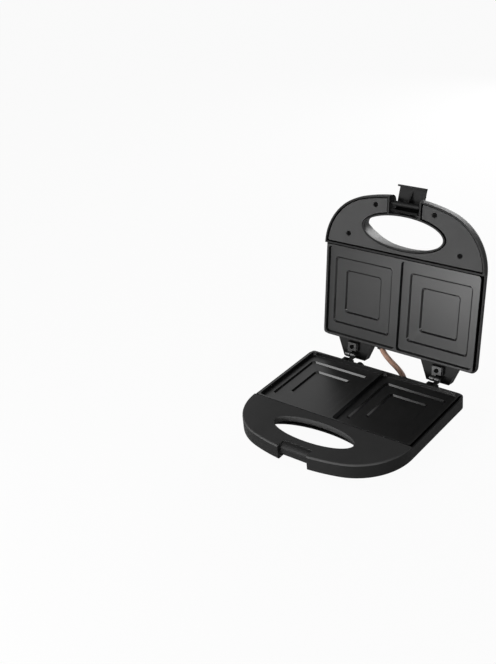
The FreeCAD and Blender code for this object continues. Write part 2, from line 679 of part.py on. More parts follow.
def thermal_fuse():
    """A small sleeved fuse on a saddle under the lower plate, in front of the thermostat."""
    top = RIM_Z - UNDER_FLOOR
    start = POCKET_Y - THERMOSTAT_R - FUSE_R - FUSE_LENGTH
    body = rod(Vector(0, start, top - FUSE_R - HEATER_GAP), Y_AXIS, FUSE_R, FUSE_LENGTH)
    middle = start + FUSE_LENGTH / 2
    saddle = box(-FUSE_R / 2, FUSE_R / 2, middle - FUSE_R, middle + FUSE_R, top - FUSE_R, top)
    return fuse_all([body, saddle])


def terminal_block():
    """A block of screw terminals on the floor of the bottom cover."""
    floor = PAN_BOTTOM + SHELL_WALL
    x0 = GLAND_X
    y1 = PAN_BACK - SHELL_WALL - BLOCK_DEPTH
    block = box(x0, x0 + BLOCK_WIDTH, y1 - BLOCK_DEPTH, y1, floor, floor + BLOCK_HEIGHT)
    middle = Vector(x0 + BLOCK_WIDTH / 2, y1 - BLOCK_DEPTH / 2, 0)
    poles = [middle + X_AXIS * (number * POLE_PITCH) for number in (-1, 0, 1)]
    return cut_all(block, rods_at(poles, floor + BLOCK_HEIGHT / 2, POLE_R, BLOCK_HEIGHT))


def collar(x, z, face_y, radius, bore_r, flange, length):
    """A flanged bush through a back wall, with its bore along Y."""
    start = Vector(x, face_y - SHELL_WALL, z)
    sleeve = rod(start, Y_AXIS, radius, length)
    ring = rod(Vector(x, face_y, z), Y_AXIS, radius + flange, flange)
    bore = rod(start - Y_AXIS * OVERCUT, Y_AXIS, bore_r, length + 2 * OVERCUT)
    return sleeve.fuse(ring).cut(bore).removeSplitter()


def hinge_leaf(x, side):
    """A hinge leaf: side -1 lies on the base's shelf, side 1 is its counterpart under the lid's lug."""
    face = HINGE_Z + side * KNUCKLE_R
    low = min(face, face - side * LEAF_T)
    flat = box(x - LEAF_HALF, x + LEAF_HALF, LEAF_START, LEAF_END, low, low + LEAF_T)
    if side < 0:
        x0 = x + KNUCKLE_GAP / 2
        bore = PIN_R + PIN_HOLD
    else:
        x0 = x - LEAF_HALF
        bore = PIN_R + PIN_RUN
    width = LEAF_HALF - KNUCKLE_GAP / 2
    neck = box(x0, x0 + width, LEAF_END - LEAF_T, HINGE_Y, low, low + LEAF_T)
    knuckle = rod(Vector(x0, HINGE_Y, HINGE_Z), X_AXIS, KNUCKLE_R, width)
    leaf = fuse_all([flat, neck, knuckle])
    holes = rods_at(LEAF_SCREWS, low - OVERCUT, SCREW_R + SCREW_GAP, LEAF_T + 2 * OVERCUT)
    pin_hole = rod(Vector(-FAR, HINGE_Y, HINGE_Z), X_AXIS, bore, 2 * FAR)
    return cut_all(leaf, holes + [pin_hole])


def leaf_screws(side):
    """The screws that hold both leaves of one side."""
    seat = HINGE_Z + side * (KNUCKLE_R - LEAF_T)
    direction = Z_AXIS * side
    length = LEAF_T + SCREW_BITE - FIT_GAP
    return Part.makeCompound([
        screw(Vector(p.x, p.y, seat), direction, length, LEAF_HEAD_H) for p in LEAF_SCREWS])


def hinge_pin(x):
    """A hinge pin with a small head at each end."""
    start = x - LEAF_HALF - PIN_HEAD - FIT_GAP
    pin = rod(Vector(start, HINGE_Y, HINGE_Z), X_AXIS, PIN_R, 2 * (LEAF_HALF + PIN_HEAD + FIT_GAP))
    heads = [
        rod(Vector(at, HINGE_Y, HINGE_Z), X_AXIS, (PIN_R + KNUCKLE_R) / 2, PIN_HEAD)
        for at in (start, x + LEAF_HALF + FIT_GAP)
    ]
    return fuse_all([pin] + heads)


def dome_rect(z, inset):
    """The raised top's plan at one level, narrower with height."""
    rise = z - DOME_EDGE_Z
    half = DOME_HALF - inset - SIDE_SLOPE * rise
    back = DOME_BACK - inset - END_SLOPE * rise
    front = DOME_FRONT + inset + SIDE_SLOPE * rise
    return rect_wire(-half, half, front, back, z, DOME_CORNER_R - inset)


def crown(offset):
    """A long cylinder across the lid whose upper side is the crowned top."""
    return rod(Vector(0, -FAR, CROWN_AXIS_Z), Y_AXIS, CROWN_R + offset, 2 * FAR)


def scoop(grow, bottom):
    """The funnel round the finger oval: wider towards the top."""
    levels = [
        (bottom, 0.0), (SCOOP_FOOT_Z, 0.0), (SCOOP_MID_Z, SCOOP_MID_GROW), (SCOOP_TOP_Z, SCOOP_TOP_GROW),
    ]
    wires = [ellipse_wire(OVAL_A + grow + more, OVAL_B + grow + more, OVAL_Y, z) for z, more in levels]
    return Part.makeLoft(wires, True, True)


def lid_mass(inset, bottom):
    """The lid's form as a full block, drawn in by inset: side band, raised top and oval funnel."""
    band = rounded_at(d_prism(inset, bottom, BAND_TOP - inset), BAND_TOP - inset, EDGE_R - inset)
    foot_z = BAND_TOP - EDGE_R / 2
    dome = Part.makeLoft([dome_rect(foot_z, inset), dome_rect(SCOOP_TOP_Z, inset)], True, True)
    mass = band.fuse(dome.common(crown(-inset))).removeSplitter()
    return mass.cut(scoop(inset, bottom - OVERCUT))


def lid_shell():
    """The upper casing: crowned top, rounded side band, handle with oval and latch notch, hinge lugs."""
    mass = lid_mass(0, HALF_GAP)
    shell = mass.cut(lid_mass(SHELL_WALL, HALF_GAP - OVERCUT))
    bay_wall = box(-FAR, FAR, BAY_FRONT - SHELL_WALL, BAY_FRONT, HALF_GAP, BAND_TOP - SHELL_WALL / 2)
    cheeks = [
        box(x0, x1, SHELL_FRONT - OVERCUT, NOTCH_BACK + SHELL_WALL, HALF_GAP, BAND_TOP + OVERCUT)
        for x0, x1 in ((NOTCH_HALF, NOTCH_HALF + SHELL_WALL), (-NOTCH_HALF - SHELL_WALL, -NOTCH_HALF))
    ]
    bosses = rods_at(COVER_SCREWS, LID_COVER_Z + COVER_T, BOSS_R, CROWN_TOP)
    ties = rods_at(POSTS, -FLOOR_TOP, POST_R + SHELL_WALL, CROWN_TOP)
    inside = [part.common(mass) for part in cheeks + bosses + ties + [bay_wall]]
    below = HALF_GAP - OVERCUT
    reveal = box(-FAR, FAR, BAY_FRONT, FAR, below, LID_REVEAL)
    notch = box(-NOTCH_HALF, NOTCH_HALF, SHELL_FRONT - OVERCUT, NOTCH_BACK, below, BAND_TOP + OVERCUT)
    shell = cut_all(fuse_all([shell] + inside), [reveal, notch])
    shell = fuse_all([shell] + [lug(x) for x in (-1, 1)] + [cable_port()])
    return cut_all(shell, lid_holes())


def lug(side):
    """A tapered hinge lug at the back of the lid, with the pad that its hinge leaf is screwed to."""
    x = side * LUG_X
    root = SHELL_BACK - SHELL_WALL
    corners = [
        Vector(x - LUG_ROOT_HALF, root, LUG_BOTTOM), Vector(x + LUG_ROOT_HALF, root, LUG_BOTTOM),
        Vector(x + LUG_TIP_HALF, LUG_TIP_Y, LUG_BOTTOM), Vector(x - LUG_TIP_HALF, LUG_TIP_Y, LUG_BOTTOM),
    ]
    wedge = prism(Part.makePolygon(corners + corners[:1]), LUG_TOP - LUG_BOTTOM)
    centre = side * HINGE_X
    pad = box(centre - SHELF_HALF, centre + SHELF_HALF, LEAF_START, LEAF_END, HINGE_Z + KNUCKLE_R, LUG_BOTTOM)
    return fuse_all([wedge, pad])


def cable_port():
    """The small box at the back of the lid where the link cable goes in."""
    return box(
        LID_CABLE.x - PORT_HALF, LID_CABLE.x + PORT_HALF, SHELL_BACK - 2 * SHELL_WALL, PORT_REACH,
        LID_CABLE.z - PORT_HALF, LID_CABLE.z + PORT_HALF)


def lid_holes():
    """Holes of the lid shell: lamp window, screws, latch pin and link cable."""
    holes = [ellipse_prism(LAMP_A + LENS_GAP, LAMP_B + LENS_GAP, LAMP_Y, lamp_floor(), FAR)]
    pin_half = NOTCH_HALF + SHELL_WALL
    holes.append(rod(PIVOT - X_AXIS * pin_half, X_AXIS, LATCH_PIN_R + PIN_HOLD, 2 * pin_half))
    holes += rods_at(COVER_SCREWS, LID_COVER_Z, SCREW_R + SCREW_GAP, COVER_T + SCREW_BITE)
    holes += rods_at(POSTS, 0, SCREW_R + SCREW_GAP, CROWN_TOP)
    for p in POSTS:
        holes += rods_at([p], tie_seat(p), SCREW_HEAD_R + FIT_GAP, CROWN_TOP)
    pad_face = HINGE_Z + KNUCKLE_R
    holes += rods_at(LEAF_SCREWS, pad_face - OVERCUT, SCREW_R + SCREW_GAP, SCREW_BITE + OVERCUT)
    start = Vector(LID_CABLE.x, PORT_REACH - SHELL_WALL - EDGE_R, LID_CABLE.z)
    holes.append(rod(start, Y_AXIS, CABLE_R + BUSH_WALL + FIT_GAP / 2, FAR))
    return holes


def tie_seat(place):
    """Height of a lid tie screw's seat, sunk below the crowned top."""
    surface = CROWN_AXIS_Z + math.sqrt(CROWN_R ** 2 - (abs(place.x) + SCREW_HEAD_R) ** 2)
    return surface - SCREW_HEAD_H - FIT_GAP


def lid_tie_screws():
    """Four screws under the panel that hold the upper plate and its reflector to the lid shell."""
    screws = []
    for p in POSTS:
        seat = tie_seat(p)
        length = seat - (HALF_GAP + UNDER_POCKET) - FIT_GAP
        screws.append(screw(Vector(p.x, p.y, seat), Z_AXIS * -1, length, SCREW_HEAD_H))
    return Part.makeCompound(screws)


def upright_at(edge, y):
    """True for a straight upright edge at one place along Y."""
    extent = edge.BoundBox
    flat = extent.XLength < TOUCH and extent.YLength < TOUCH
    return flat and abs(extent.YMin - y) < TOUCH


def lid_panel():
    """The bright panel on the crowned top, with a concave front edge that follows the oval."""
    plan = rect_prism(-PANEL_HALF, PANEL_HALF, PANEL_TIP, PANEL_BACK, 0, FAR, PANEL_CORNER_R)
    plan = plan.cut(rod(Vector(0, PANEL_FRONT - PANEL_FRONT_R, 0), Z_AXIS, PANEL_FRONT_R, FAR))
    horn_x = PANEL_HALF - PANEL_CORNER_R
    horns = [e for e in plan.Edges if upright_at(e, PANEL_TIP) and abs(e.BoundBox.XMin) < horn_x - TOUCH]
    plan = plan.makeFillet(PANEL_HORN_R, horns)
    sheet = crown(PANEL_T).cut(crown(0)).common(plan)
    return sheet.cut(ellipse_prism(LAMP_A + LENS_GAP, LAMP_B + LENS_GAP, LAMP_Y, 0, FAR))


def lamp_floor():
    """Level of the lamp window's lower end."""
    return CROWN_TOP - LAMP_DEPTH


def lens_half(side, grow, bottom, proud):
    """One half of the lamp window's ellipse, cut off by the bar in the middle."""
    full = ellipse_prism(LAMP_A - LAMP_FRAME + grow, LAMP_B - LAMP_FRAME + grow, LAMP_Y, bottom, FAR)
    start = LAMP_BAR / 2 - grow
    x0, x1 = sorted((side * start, side * FAR))
    half = full.common(box(x0, x1, -FAR, FAR, bottom, FAR))
    return half.common(crown(PANEL_T + proud))


def lamp_bezel():
    """The black frame round both lamp lenses, with a lip that lies on the panel."""
    bottom = lamp_floor()
    skirt = ellipse_prism(LAMP_A, LAMP_B, LAMP_Y, bottom, FAR).common(crown(PANEL_T + LAMP_LIP_T))
    lip = ellipse_prism(LAMP_A + LAMP_LIP, LAMP_B + LAMP_LIP, LAMP_Y, bottom, FAR)
    lip = lip.common(crown(PANEL_T + LAMP_LIP_T).cut(crown(PANEL_T)))
    frame = fuse_all([skirt, lip])
    return cut_all(frame, [lens_half(side, 0, bottom - OVERCUT, LAMP_LIP_T + OVERCUT) for side in (-1, 1)])


def lamp_lens(side):
    """A coloured lens: -1 is the left one, 1 the right one."""
    return lens_half(side, -LENS_GAP, lamp_floor(), LAMP_LIP_T + LENS_PROUD)


def lamp_holder():
    """The cup below the lamp window that keeps the two lamps apart."""
    top = lamp_floor()
    cup = ellipse_prism(LAMP_A - LENS_GAP, LAMP_B - LENS_GAP, LAMP_Y, top - HOLDER_DEPTH, top)
    places = [Vector(x, LAMP_Y, 0) for x in (-LAMP_X, LAMP_X)]
    return cut_all(cup, rods_at(places, top - HOLDER_DEPTH + HOLDER_WALL, WELL_R, HOLDER_DEPTH))


def lamp(side):
    """A small indicator lamp that stands in its well."""
    floor = lamp_floor() - HOLDER_DEPTH + HOLDER_WALL
    body = rod(Vector(side * LAMP_X, LAMP_Y, floor), Z_AXIS, LAMP_R, LAMP_LENGTH)
    return rounded_at(body, floor + LAMP_LENGTH, LAMP_ROUND)


def lid_handle_cover():
    """The plate that closes the lid's handle from inside, with a rim of the shell round it."""
    inset = SHELL_WALL + COVER_GAP
    high = LID_COVER_Z + COVER_T + OVERCUT
    front = box(-FAR, FAR, SHELL_FRONT - OVERCUT, LID_COVER_BACK, 0, high)
    plate = d_prism(inset, LID_COVER_Z, LID_COVER_Z + COVER_T).common(front)
    oval = ellipse_prism(OVAL_A + inset, OVAL_B + inset, OVAL_Y, 0, high)
    half = NOTCH_HALF + inset
    notch = box(-half, half, SHELL_FRONT - OVERCUT, OVAL_Y - OVAL_B, 0, high)
    seats = rods_at(COVER_SCREWS, 0, SCREW_R + 2 * SCREW_GAP, high)
    seats += rods_at(COVER_SCREWS, 0, SCREW_HEAD_R + HEAD_GAP, LID_COVER_Z + COVER_T / 2)
    return cut_all(plate, [oval, notch] + seats)


def lid_cover_screws():
    """Four screws sunk in the lid's handle cover."""
    seat = LID_COVER_Z + COVER_T / 2
    length = COVER_T / 2 + SCREW_BITE - FIT_GAP
    return Part.makeCompound([
        screw(Vector(p.x, p.y, seat), Z_AXIS, length, COVER_T / 2 - HEAD_SINK) for p in COVER_SCREWS])


def latch():
    """The latch in its latched place: barrel, rounded head, plate, gusset, hook lip and grip ribs."""
    inner_r = HEAD_R - LATCH_T
    left = -LATCH_HALF
    width = 2 * LATCH_HALF
    start = Vector(left, PIVOT.y, PIVOT.z)
    ring = rod(start, X_AXIS, HEAD_R, width).cut(rod(start, X_AXIS, inner_r, width))
    sweep = math.radians(LATCH_HEAD_END)
    reach = 2 * HEAD_R
    wedge = Part.makePolygon([
        start, start + Vector(0, -reach, 0), start + Vector(0, -reach, reach),
        start + Vector(0, reach * math.cos(sweep), reach * math.sin(sweep)), start])
    head = ring.common(Part.Face(wedge).extrude(X_AXIS * width))
    face_y = PIVOT.y - HEAD_R
    back_y = PIVOT.y - inner_r
    lip_top = BAR_BOTTOM - LIP_GAP
    plate = box(left, LATCH_HALF, face_y, back_y, lip_top - LIP_T, PIVOT.z)
    web = box(left, LATCH_HALF, back_y - LATCH_T / 2, PIVOT.y, PIVOT.z - LATCH_T / 2, PIVOT.z + LATCH_T / 2)
    lip_half = LATCH_HALF + LIP_WIDER
    lip = box(-lip_half, lip_half, back_y - LATCH_T / 2, back_y + LIP_LENGTH, lip_top - LIP_T, lip_top)
    gusset = Part.makePolygon([
        Vector(-LATCH_T / 2, PIVOT.y, PIVOT.z), Vector(-LATCH_T / 2, back_y, PIVOT.z),
        Vector(-LATCH_T / 2, back_y, lip_top + LIP_T), Vector(-LATCH_T / 2, PIVOT.y, PIVOT.z)])
    gusset = Part.Face(gusset).extrude(X_AXIS * LATCH_T)
    barrel = rod(start, X_AXIS, LATCH_BARREL_R, width)
    ribs = [
        box(left, LATCH_HALF, face_y - RIB_SIZE, face_y + RIB_SIZE, z - RIB_SIZE, z + RIB_SIZE)
        for z in (PIVOT.z - RIB_PITCH * n for n in range(3))
    ]
    body = fuse_all([barrel, head, plate, web, lip, gusset] + ribs)
    return body.cut(rod(PIVOT - X_AXIS * FAR, X_AXIS, LATCH_PIN_R + PIN_RUN, 2 * FAR))


def latch_pin():
    """The pin across the lid's notch that the latch turns on."""
    half = NOTCH_HALF + SHELL_WALL - FIT_GAP
    return rod(PIVOT - X_AXIS * half, X_AXIS, LATCH_PIN_R, 2 * half)


def opened(shape):
    """A lid piece swung from closed to the open stop."""
    copy = shape.copy()
    copy.rotate(Vector(0, HINGE_Y, HINGE_Z), X_AXIS, -OPEN_ANGLE)
    return copy


def unlatched(shape):
    """A latch piece turned from latched to folded out."""
    copy = shape.copy()
    copy.rotate(PIVOT, X_AXIS, -LATCH_OPEN)
    return copy


def opened_point(point):
    """A point of the closed lid, after the lid has swung open."""
    return opened(Part.Vertex(point)).Point


def link_cable():
    """The sleeved cable from the base's back wall to the open lid."""
    bush_end = SHELL_BACK - SHELL_WALL
    start = Vector(BASE_CABLE.x, bush_end, BASE_CABLE.z)
    turn = Vector(BASE_CABLE.x, SHELL_BACK + CABLE_LEAD, BASE_CABLE.z)
    rise = opened_point(Vector(LID_CABLE.x, PORT_REACH + CABLE_DROP, LID_CABLE.z))
    end = opened_point(Vector(LID_CABLE.x, PORT_REACH - SHELL_WALL, LID_CABLE.z))
    points = [start, turn, rise, end]
    bends = []
    for before, corner, after in zip(points, points[1:], points[2:]):
        shorter = min((before - corner).Length, (after - corner).Length)
        half_turn = (before - corner).getAngle(after - corner) / 2
        bends.append(CABLE_BEND_SHARE * shorter * math.tan(half_turn))
    print("link cable bend radii", [round(b, 2) for b in bends])
    return tube(points, CABLE_R, bends)


def base_nodes():
    """Pieces that stand still."""
    nodes = {
        "base_shell": base_shell(),
        "base_handle_cover": base_handle_cover(),
        "base_cover_screws": base_cover_screws(),
        "bottom_cover": bottom_cover(),
        "base_tie_screws": base_tie_screws(),
        "lower_plate": cooking_plate(),
        "lower_heater": heater(),
        "lower_reflector": reflector(PAN_HALF - FIT_GAP, PAN_FRONT + SHELL_WALL, PAN_BACK - FIT_GAP),
        "thermostat": thermostat(),
        "thermal_fuse": thermal_fuse(),
        "terminal_block": terminal_block(),
        "cord_gland": collar(GLAND_X, GLAND_Z, SHELL_BACK, GLAND_R, GLAND_BORE_R, BUSH_WALL, GLAND_LENGTH),
        "base_cable_bush": collar(
            BASE_CABLE.x, BASE_CABLE.z, SHELL_BACK, CABLE_R + BUSH_WALL, CABLE_R + SCREW_GAP, BUSH_FLANGE,
            BUSH_LENGTH),
        "base_leaf_screws": leaf_screws(-1),
        "link_cable": link_cable(),
    }
    names = ("front_foot_left", "front_foot_right", "rear_foot_left", "rear_foot_right")
    for name, place in zip(names, foot_places()):
        nodes[name] = foot(place)
    for name, x in (("left", -HINGE_X), ("right", HINGE_X)):
        nodes["hinge_base_leaf_" + name] = hinge_leaf(x, -1)
        nodes["hinge_pin_" + name] = hinge_pin(x)
    return nodes


def lid_nodes():
    """Pieces that swing with the lid, in their open place."""
    panel_reflector = reflector(PANEL_HALF, PAN_FRONT + POCKET_STEP, PANEL_BACK)
    nodes = {
        "lid_shell": lid_shell(),
        "lid_panel": lid_panel(),
        "lid_tie_screws": lid_tie_screws(),
        "lamp_bezel": lamp_bezel(),
        "red_lens": lamp_lens(-1),
        "green_lens": lamp_lens(1),
        "lamp_holder": lamp_holder(),
        "red_lamp": lamp(-1),
        "green_lamp": lamp(1),
        "lid_handle_cover": lid_handle_cover(),
        "lid_cover_screws": lid_cover_screws(),
        "upper_plate": mirrored_to_lid(cooking_plate()),
        "upper_heater": mirrored_to_lid(heater()),
        "upper_reflector": mirrored_to_lid(panel_reflector),
        "lid_leaf_screws": leaf_screws(1),
        "lid_cable_bush": collar(
            LID_CABLE.x, LID_CABLE.z, PORT_REACH, CABLE_R + BUSH_WALL, CABLE_R + SCREW_GAP, BUSH_FLANGE,
            BUSH_LENGTH),
        "latch_pin": latch_pin(),
    }
    for name, x in (("left", -HINGE_X), ("right", HINGE_X)):
        nodes["hinge_lid_leaf_" + name] = hinge_leaf(x, 1)
    return {name: opened(shape) for name, shape in nodes.items()}


def main():
    """Build every piece, move the origin under the open appliance and write one file for each piece."""
    nodes = base_nodes()
    nodes.update(lid_nodes())
    nodes["latch"] = opened(unlatched(latch()))
    whole = Part.makeCompound(list(nodes.values())).optimalBoundingBox(False)
    origin = Vector((whole.XMin + whole.XMax) / 2, (whole.YMin + whole.YMax) / 2, whole.ZMin)
    os.makedirs("parts", exist_ok=True)
    for name, shape in nodes.items():
        shape.translate(origin * -1)
        shape.exportStep(os.path.join("parts", name + ".step"))
    print("origin", [round(v, 4) for v in origin])
    print("size", [round(v, 2) for v in (whole.XLength, whole.YLength, whole.ZLength)])
    print("lid hinge", [round(v, 4) for v in Vector(0, HINGE_Y, HINGE_Z) - origin])
    print("latch pivot", [round(v, 4) for v in opened_point(PIVOT) - origin])
    for name, shape in nodes.items():
        print(name, len(shape.Solids), shape.isValid(), round(shape.Volume, 1))


main()
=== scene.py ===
"""Looks of a sandwich maker with its lid open: plates, casing, handle, latch, lamps, hinges and stage."""

import json
import math

import bmesh
import bpy
from bpy.props import FloatProperty, FloatVectorProperty, PointerProperty
from mathutils import Matrix, Vector


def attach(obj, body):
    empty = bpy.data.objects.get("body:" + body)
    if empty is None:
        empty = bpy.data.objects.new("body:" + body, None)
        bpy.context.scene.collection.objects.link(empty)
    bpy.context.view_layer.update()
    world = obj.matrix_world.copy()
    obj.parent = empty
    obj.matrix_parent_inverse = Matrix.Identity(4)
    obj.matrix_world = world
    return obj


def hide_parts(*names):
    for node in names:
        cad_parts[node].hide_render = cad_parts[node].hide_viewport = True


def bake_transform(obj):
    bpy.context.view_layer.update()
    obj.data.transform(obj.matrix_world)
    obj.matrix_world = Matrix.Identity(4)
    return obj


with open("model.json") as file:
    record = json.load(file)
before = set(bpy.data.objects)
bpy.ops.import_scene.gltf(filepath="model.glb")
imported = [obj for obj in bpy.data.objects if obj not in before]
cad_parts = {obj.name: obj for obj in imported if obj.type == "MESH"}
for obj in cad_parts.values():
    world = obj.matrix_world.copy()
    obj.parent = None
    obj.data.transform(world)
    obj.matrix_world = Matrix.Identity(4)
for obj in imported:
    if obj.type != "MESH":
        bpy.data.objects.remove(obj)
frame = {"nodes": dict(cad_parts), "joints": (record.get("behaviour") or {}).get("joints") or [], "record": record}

bl_info = {
    "name": "Sandwich Maker Looks",
    "version": (1, 0, 0),
    "blender": (4, 5, 0),
    "location": "View3D > Sidebar > Sandwich Maker",
    "description": "Dresses the solids of a sandwich maker with rounded pieces and real finishes",
    "category": "Object",
}

MM = 0.001
SLOTS = {part["node"]: part["material_slot"] for part in frame["record"]["subparts"]}
JOINTS = {joint["name"]: joint for joint in frame["joints"]}
BODIES = {node: body for body, nodes in frame["record"]["behaviour"]["bodies"].items() for node in nodes}
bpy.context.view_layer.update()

# The hinge pin stands this far behind the plates' back edge and this far below their meeting plane
HINGE_FROM_PLATES = Vector((0, 19.5, -4.0)) * MM
HINGE = Vector(JOINTS["lid_hinge"]["pos_m"])
PLATES_AT = HINGE - HINGE_FROM_PLATES
LID_TURN = math.radians(JOINTS["lid_hinge"]["range_deg"][1])
LID_OPEN = Matrix.Translation(HINGE) @ Matrix.Rotation(-LID_TURN, 4, "X") @ Matrix.Translation(-HINGE)

# Edges that turn by more than this are sharp, and are the ones that get rounded
SHARP_TURN = math.radians(40)
# A solid's triangles are joined at corners this near, and become one face where they turn by less
CORNER_REACH = 0.002 * MM
FLAT_TURN = math.radians(0.4)
# A plate's face is an unshaded flat where more than this share of its normal lies along the plate's own; its other
# faces, the step walls, get painted shade
UNSHADED_FLAT = "rubbed"
FLAT_SHARE = 0.99

# Sizes of the finishes' patterns, in millimetres. Grain, brushed lines, rolling marks, pits and lens
# ribs are finer on the real thing, and are drawn as coarse as they need to be to show.
FLOW_CLOUD = 40
CASING_GRAIN = 0.9
COVER_GRAIN = 1.1
CERAMIC_GRAIN = 0.8
GLOSS_WAVE = 3
COAT_PEEL = 2.2
COAT_DRIFT = 30
BRUSHED_LINE = 0.55
PLATING_MOTTLE = 1.6
ROLLING_MARK = 0.5
RUBBER_PIT = 0.7
LENS_RIB = 3.77
GLASS_SMOKE = 3
# A brushed line's width as a share of its length
BRUSHED_SHARE = 0.012
# A wave pattern of scale 1 repeats after this length
WAVE_LENGTH = math.pi / 10
# The sleeve's map runs once along the cable, so this gives a thread every 5.4 mm, coarser than real to show
BRAID_SCALE = 9.0
BRAID_WANDER = 0.6
# Most of a noise pattern lies between these values, which are spread over a finish's range of roughness
NOISE_LOW = 0.3
NOISE_HIGH = 0.7

# Route of the link cable from the base's bush to the lid's, from the plates' back edge, in millimetres
CABLE_ROUTE = ((27, 0.8, -9), (27, 12, -9), (-30, 41.78, -1.14), (-30, 43.46, 8.92))
# How finely the cable's line is divided, and how finely its section is round
CABLE_STEPS = 24
CABLE_ROUNDNESS = 8

# Size and place of each soft lamp, in metres, and the point that all of them look at
SOFTBOXES = {
    "front": (0.42, Vector((-0.18, -1.15, 0.14))),
    "side": (0.24, Vector((-0.52, -0.48, 0.66))),
    "back": (0.6, Vector((-0.15, 1.4, 0.45))),
    "fill": (0.35, Vector((0.95, -0.8, 0.28))),
}
LAMP_AIM = Vector((0, 0, 0.1))
# Half the floor's width in metres, its share of glow, and how much of that glow gloss and glass mirror
FLOOR_HALF = 6
FLOOR_GLOW = 0.95
MIRRORED_GLOW = 0.1
# The studio's white walls end at the first height and its ceiling starts at the second, as sines
WALL_TOP = 0.55
CEILING_START = 0.75
CEILING_LIGHT = 0.15
# The point that the camera is set from, and the width of the camera's sensor in millimetres
VIEW_POINT = PLATES_AT + Vector((0, -65, 60)) * MM
SENSOR_WIDTH = 36


def linear(hex_colour):
    """An sRGB hex colour as linear red, green and blue."""
    shares = [int(hex_colour[i:i + 2], 16) / 255 for i in (1, 3, 5)]
    return [s / 12.92 if s <= 0.04045 else ((s + 0.055) / 1.055) ** 2.4 for s in shares]


WHITE = (*linear("#ffffff"), 1)


def length(name, description, millimetres):
    """A size that the user may change, kept in metres."""
    return FloatProperty(
        name=name, description=description, default=millimetres * MM, min=0, unit="LENGTH",
        subtype="DISTANCE", precision=5)


def colour(name, description, hex_colour):
    """A finish's colour that the user may change."""
    return FloatVectorProperty(
        name=name, description=description, default=linear(hex_colour), size=3, min=0, max=1,
        subtype="COLOR")


def angle(name, description, degrees):
    """A turn that the user may change."""
    return FloatProperty(
        name=name, description=description, default=math.radians(degrees), subtype="ANGLE")


def watts(name, description, power):
    """A lamp's power that the user may change."""
    return FloatProperty(name=name, description=description, default=power, min=0, unit="POWER")


class SandwichMakerEdges(bpy.types.PropertyGroup):
    """Rounding of the moulded and stamped edges, and the cable's thickness."""

    casing: length("Casing", "Rounding of the casings' and bottom cover's edges", 0.5)
    cover: length("Covers", "Rounding of the handle covers' edges", 0.7)
    coat: length("Plates", "Rounding of the coated plates' edges", 0.35)
    latch: length("Latch", "Rounding of the latch's edges", 0.45)
    sheet: length("Small pieces", "Rounding of the hinges, panel, bezel, lenses, gland and bushes", 0.2)
    rubber: length("Feet", "Rounding of the rubber feet", 0.5)
    screw: length("Screws", "Rounding of the screw heads", 0.25)
    cable: length("Link cable", "Diameter of the sleeved cable", 7.2)


class SandwichMakerColours(bpy.types.PropertyGroup):
    """Colours of the finishes."""

    casing: colour("Casing", "Moulded casing and latch", "#171717")
    cover: colour("Handle covers", "Grained covers of the two handles", "#4a4a4a")
    # The second coat colour is painted shade: the plates' step walls are coloured darker than their flats
    coat: colour("Coat on flats", "Coat of the cooking plates on their flats", "#1c1c1c")
    coat_painted_shade: colour("Painted shade on steps", "Coat of the cooking plates on their step walls, darker as painted shade", "#0b0b0b")
    panel: colour("Lid panel", "Silver panel on the lid", "#dcdcde")
    hinge: colour("Hinges", "Dark plate on the hinges", "#5c5c5c")
    screw: colour("Screws", "Black plate on the screws", "#0c0c0c")
    rubber: colour("Rubber", "Feet, bushes and gland", "#1d1d1d")
    sleeve: colour("Sleeve", "Light thread of the cable sleeve", "#c09a86")
    sleeve_dark: colour("Sleeve stripe", "Dark thread of the cable sleeve", "#6e4c3e")
    red: colour("Red lens", "Lens of the power lamp", "#d8402c")
    green: colour("Green lens", "Lens of the ready lamp", "#3c9a78")
    bezel: colour("Bezel", "Gloss frame round the lenses", "#161616")
    glass: colour("Lamp glass", "Bulbs of the two lamps", "#e8e4dc")
    ceramic: colour("Ceramic", "Terminal block and switches inside", "#e6e0d2")
    heater: colour("Heater", "Steel sheath of the heaters", "#8a847c")
    reflector: colour("Reflector", "Bright sheet behind the heaters", "#d4d4d4")


class SandwichMakerStage(bpy.types.PropertyGroup):
    """Camera, floor and light."""

    azimuth: angle("Azimuth", "Camera's turn round the maker, from its front", 41.11)
    elevation: angle("Elevation", "Camera's height as an angle", 28.6)
    roll: angle("Roll", "Camera's tilt to one side", 6.16)
    distance: length("Distance", "Camera to the point it is set from", 1217.31)
    right: length("Right", "How far the maker stands right of the picture's middle", 128.34)
    down: length("Down", "How far the maker stands below the picture's middle", 25.03)
    lens: FloatProperty(name="Lens", description="Focal length", default=54.54, min=1, unit="CAMERA")
    paper: colour("Floor", "Paper of the floor", "#ededed")
    ambient: FloatProperty(name="Ambient", description="Light from all round", default=0.07, min=0)
    front_lamp: watts("Front lamp", "Low lamp in front", 15.2)
    side_lamp: watts("Side lamp", "Lamp at the upper left", 1.2)
    back_lamp: watts("Back lamp", "Soft lamp behind", 11)
    fill_lamp: watts("Fill lamp", "Weak lamp at the right", 2.6)


def edges():
    """The edge roundings as set in the sidebar."""
    return bpy.context.scene.sandwich_maker_edges


def colours():
    """The colours as set in the sidebar."""
    return bpy.context.scene.sandwich_maker_colours


def fill_sockets(tree, node, values):
    """Sets a shader node's sockets, and links those that are given another node's output."""
    for name, value in values.items():
        if isinstance(value, bpy.types.NodeSocket):
            tree.links.new(value, node.inputs[name])
        else:
            node.inputs[name].default_value = value


def add_node(tree, kind, settings, sockets):
    """Adds a shader node with its settings and its filled sockets."""
    node = tree.nodes.new(kind)
    for name, value in settings.items():
        setattr(node, name, value)
    fill_sockets(tree, node, sockets)
    return node


def shade(base, strength):
    """A colour made lighter or darker, with full alpha."""
    return (*[min(1, strength * share) for share in base], 1)


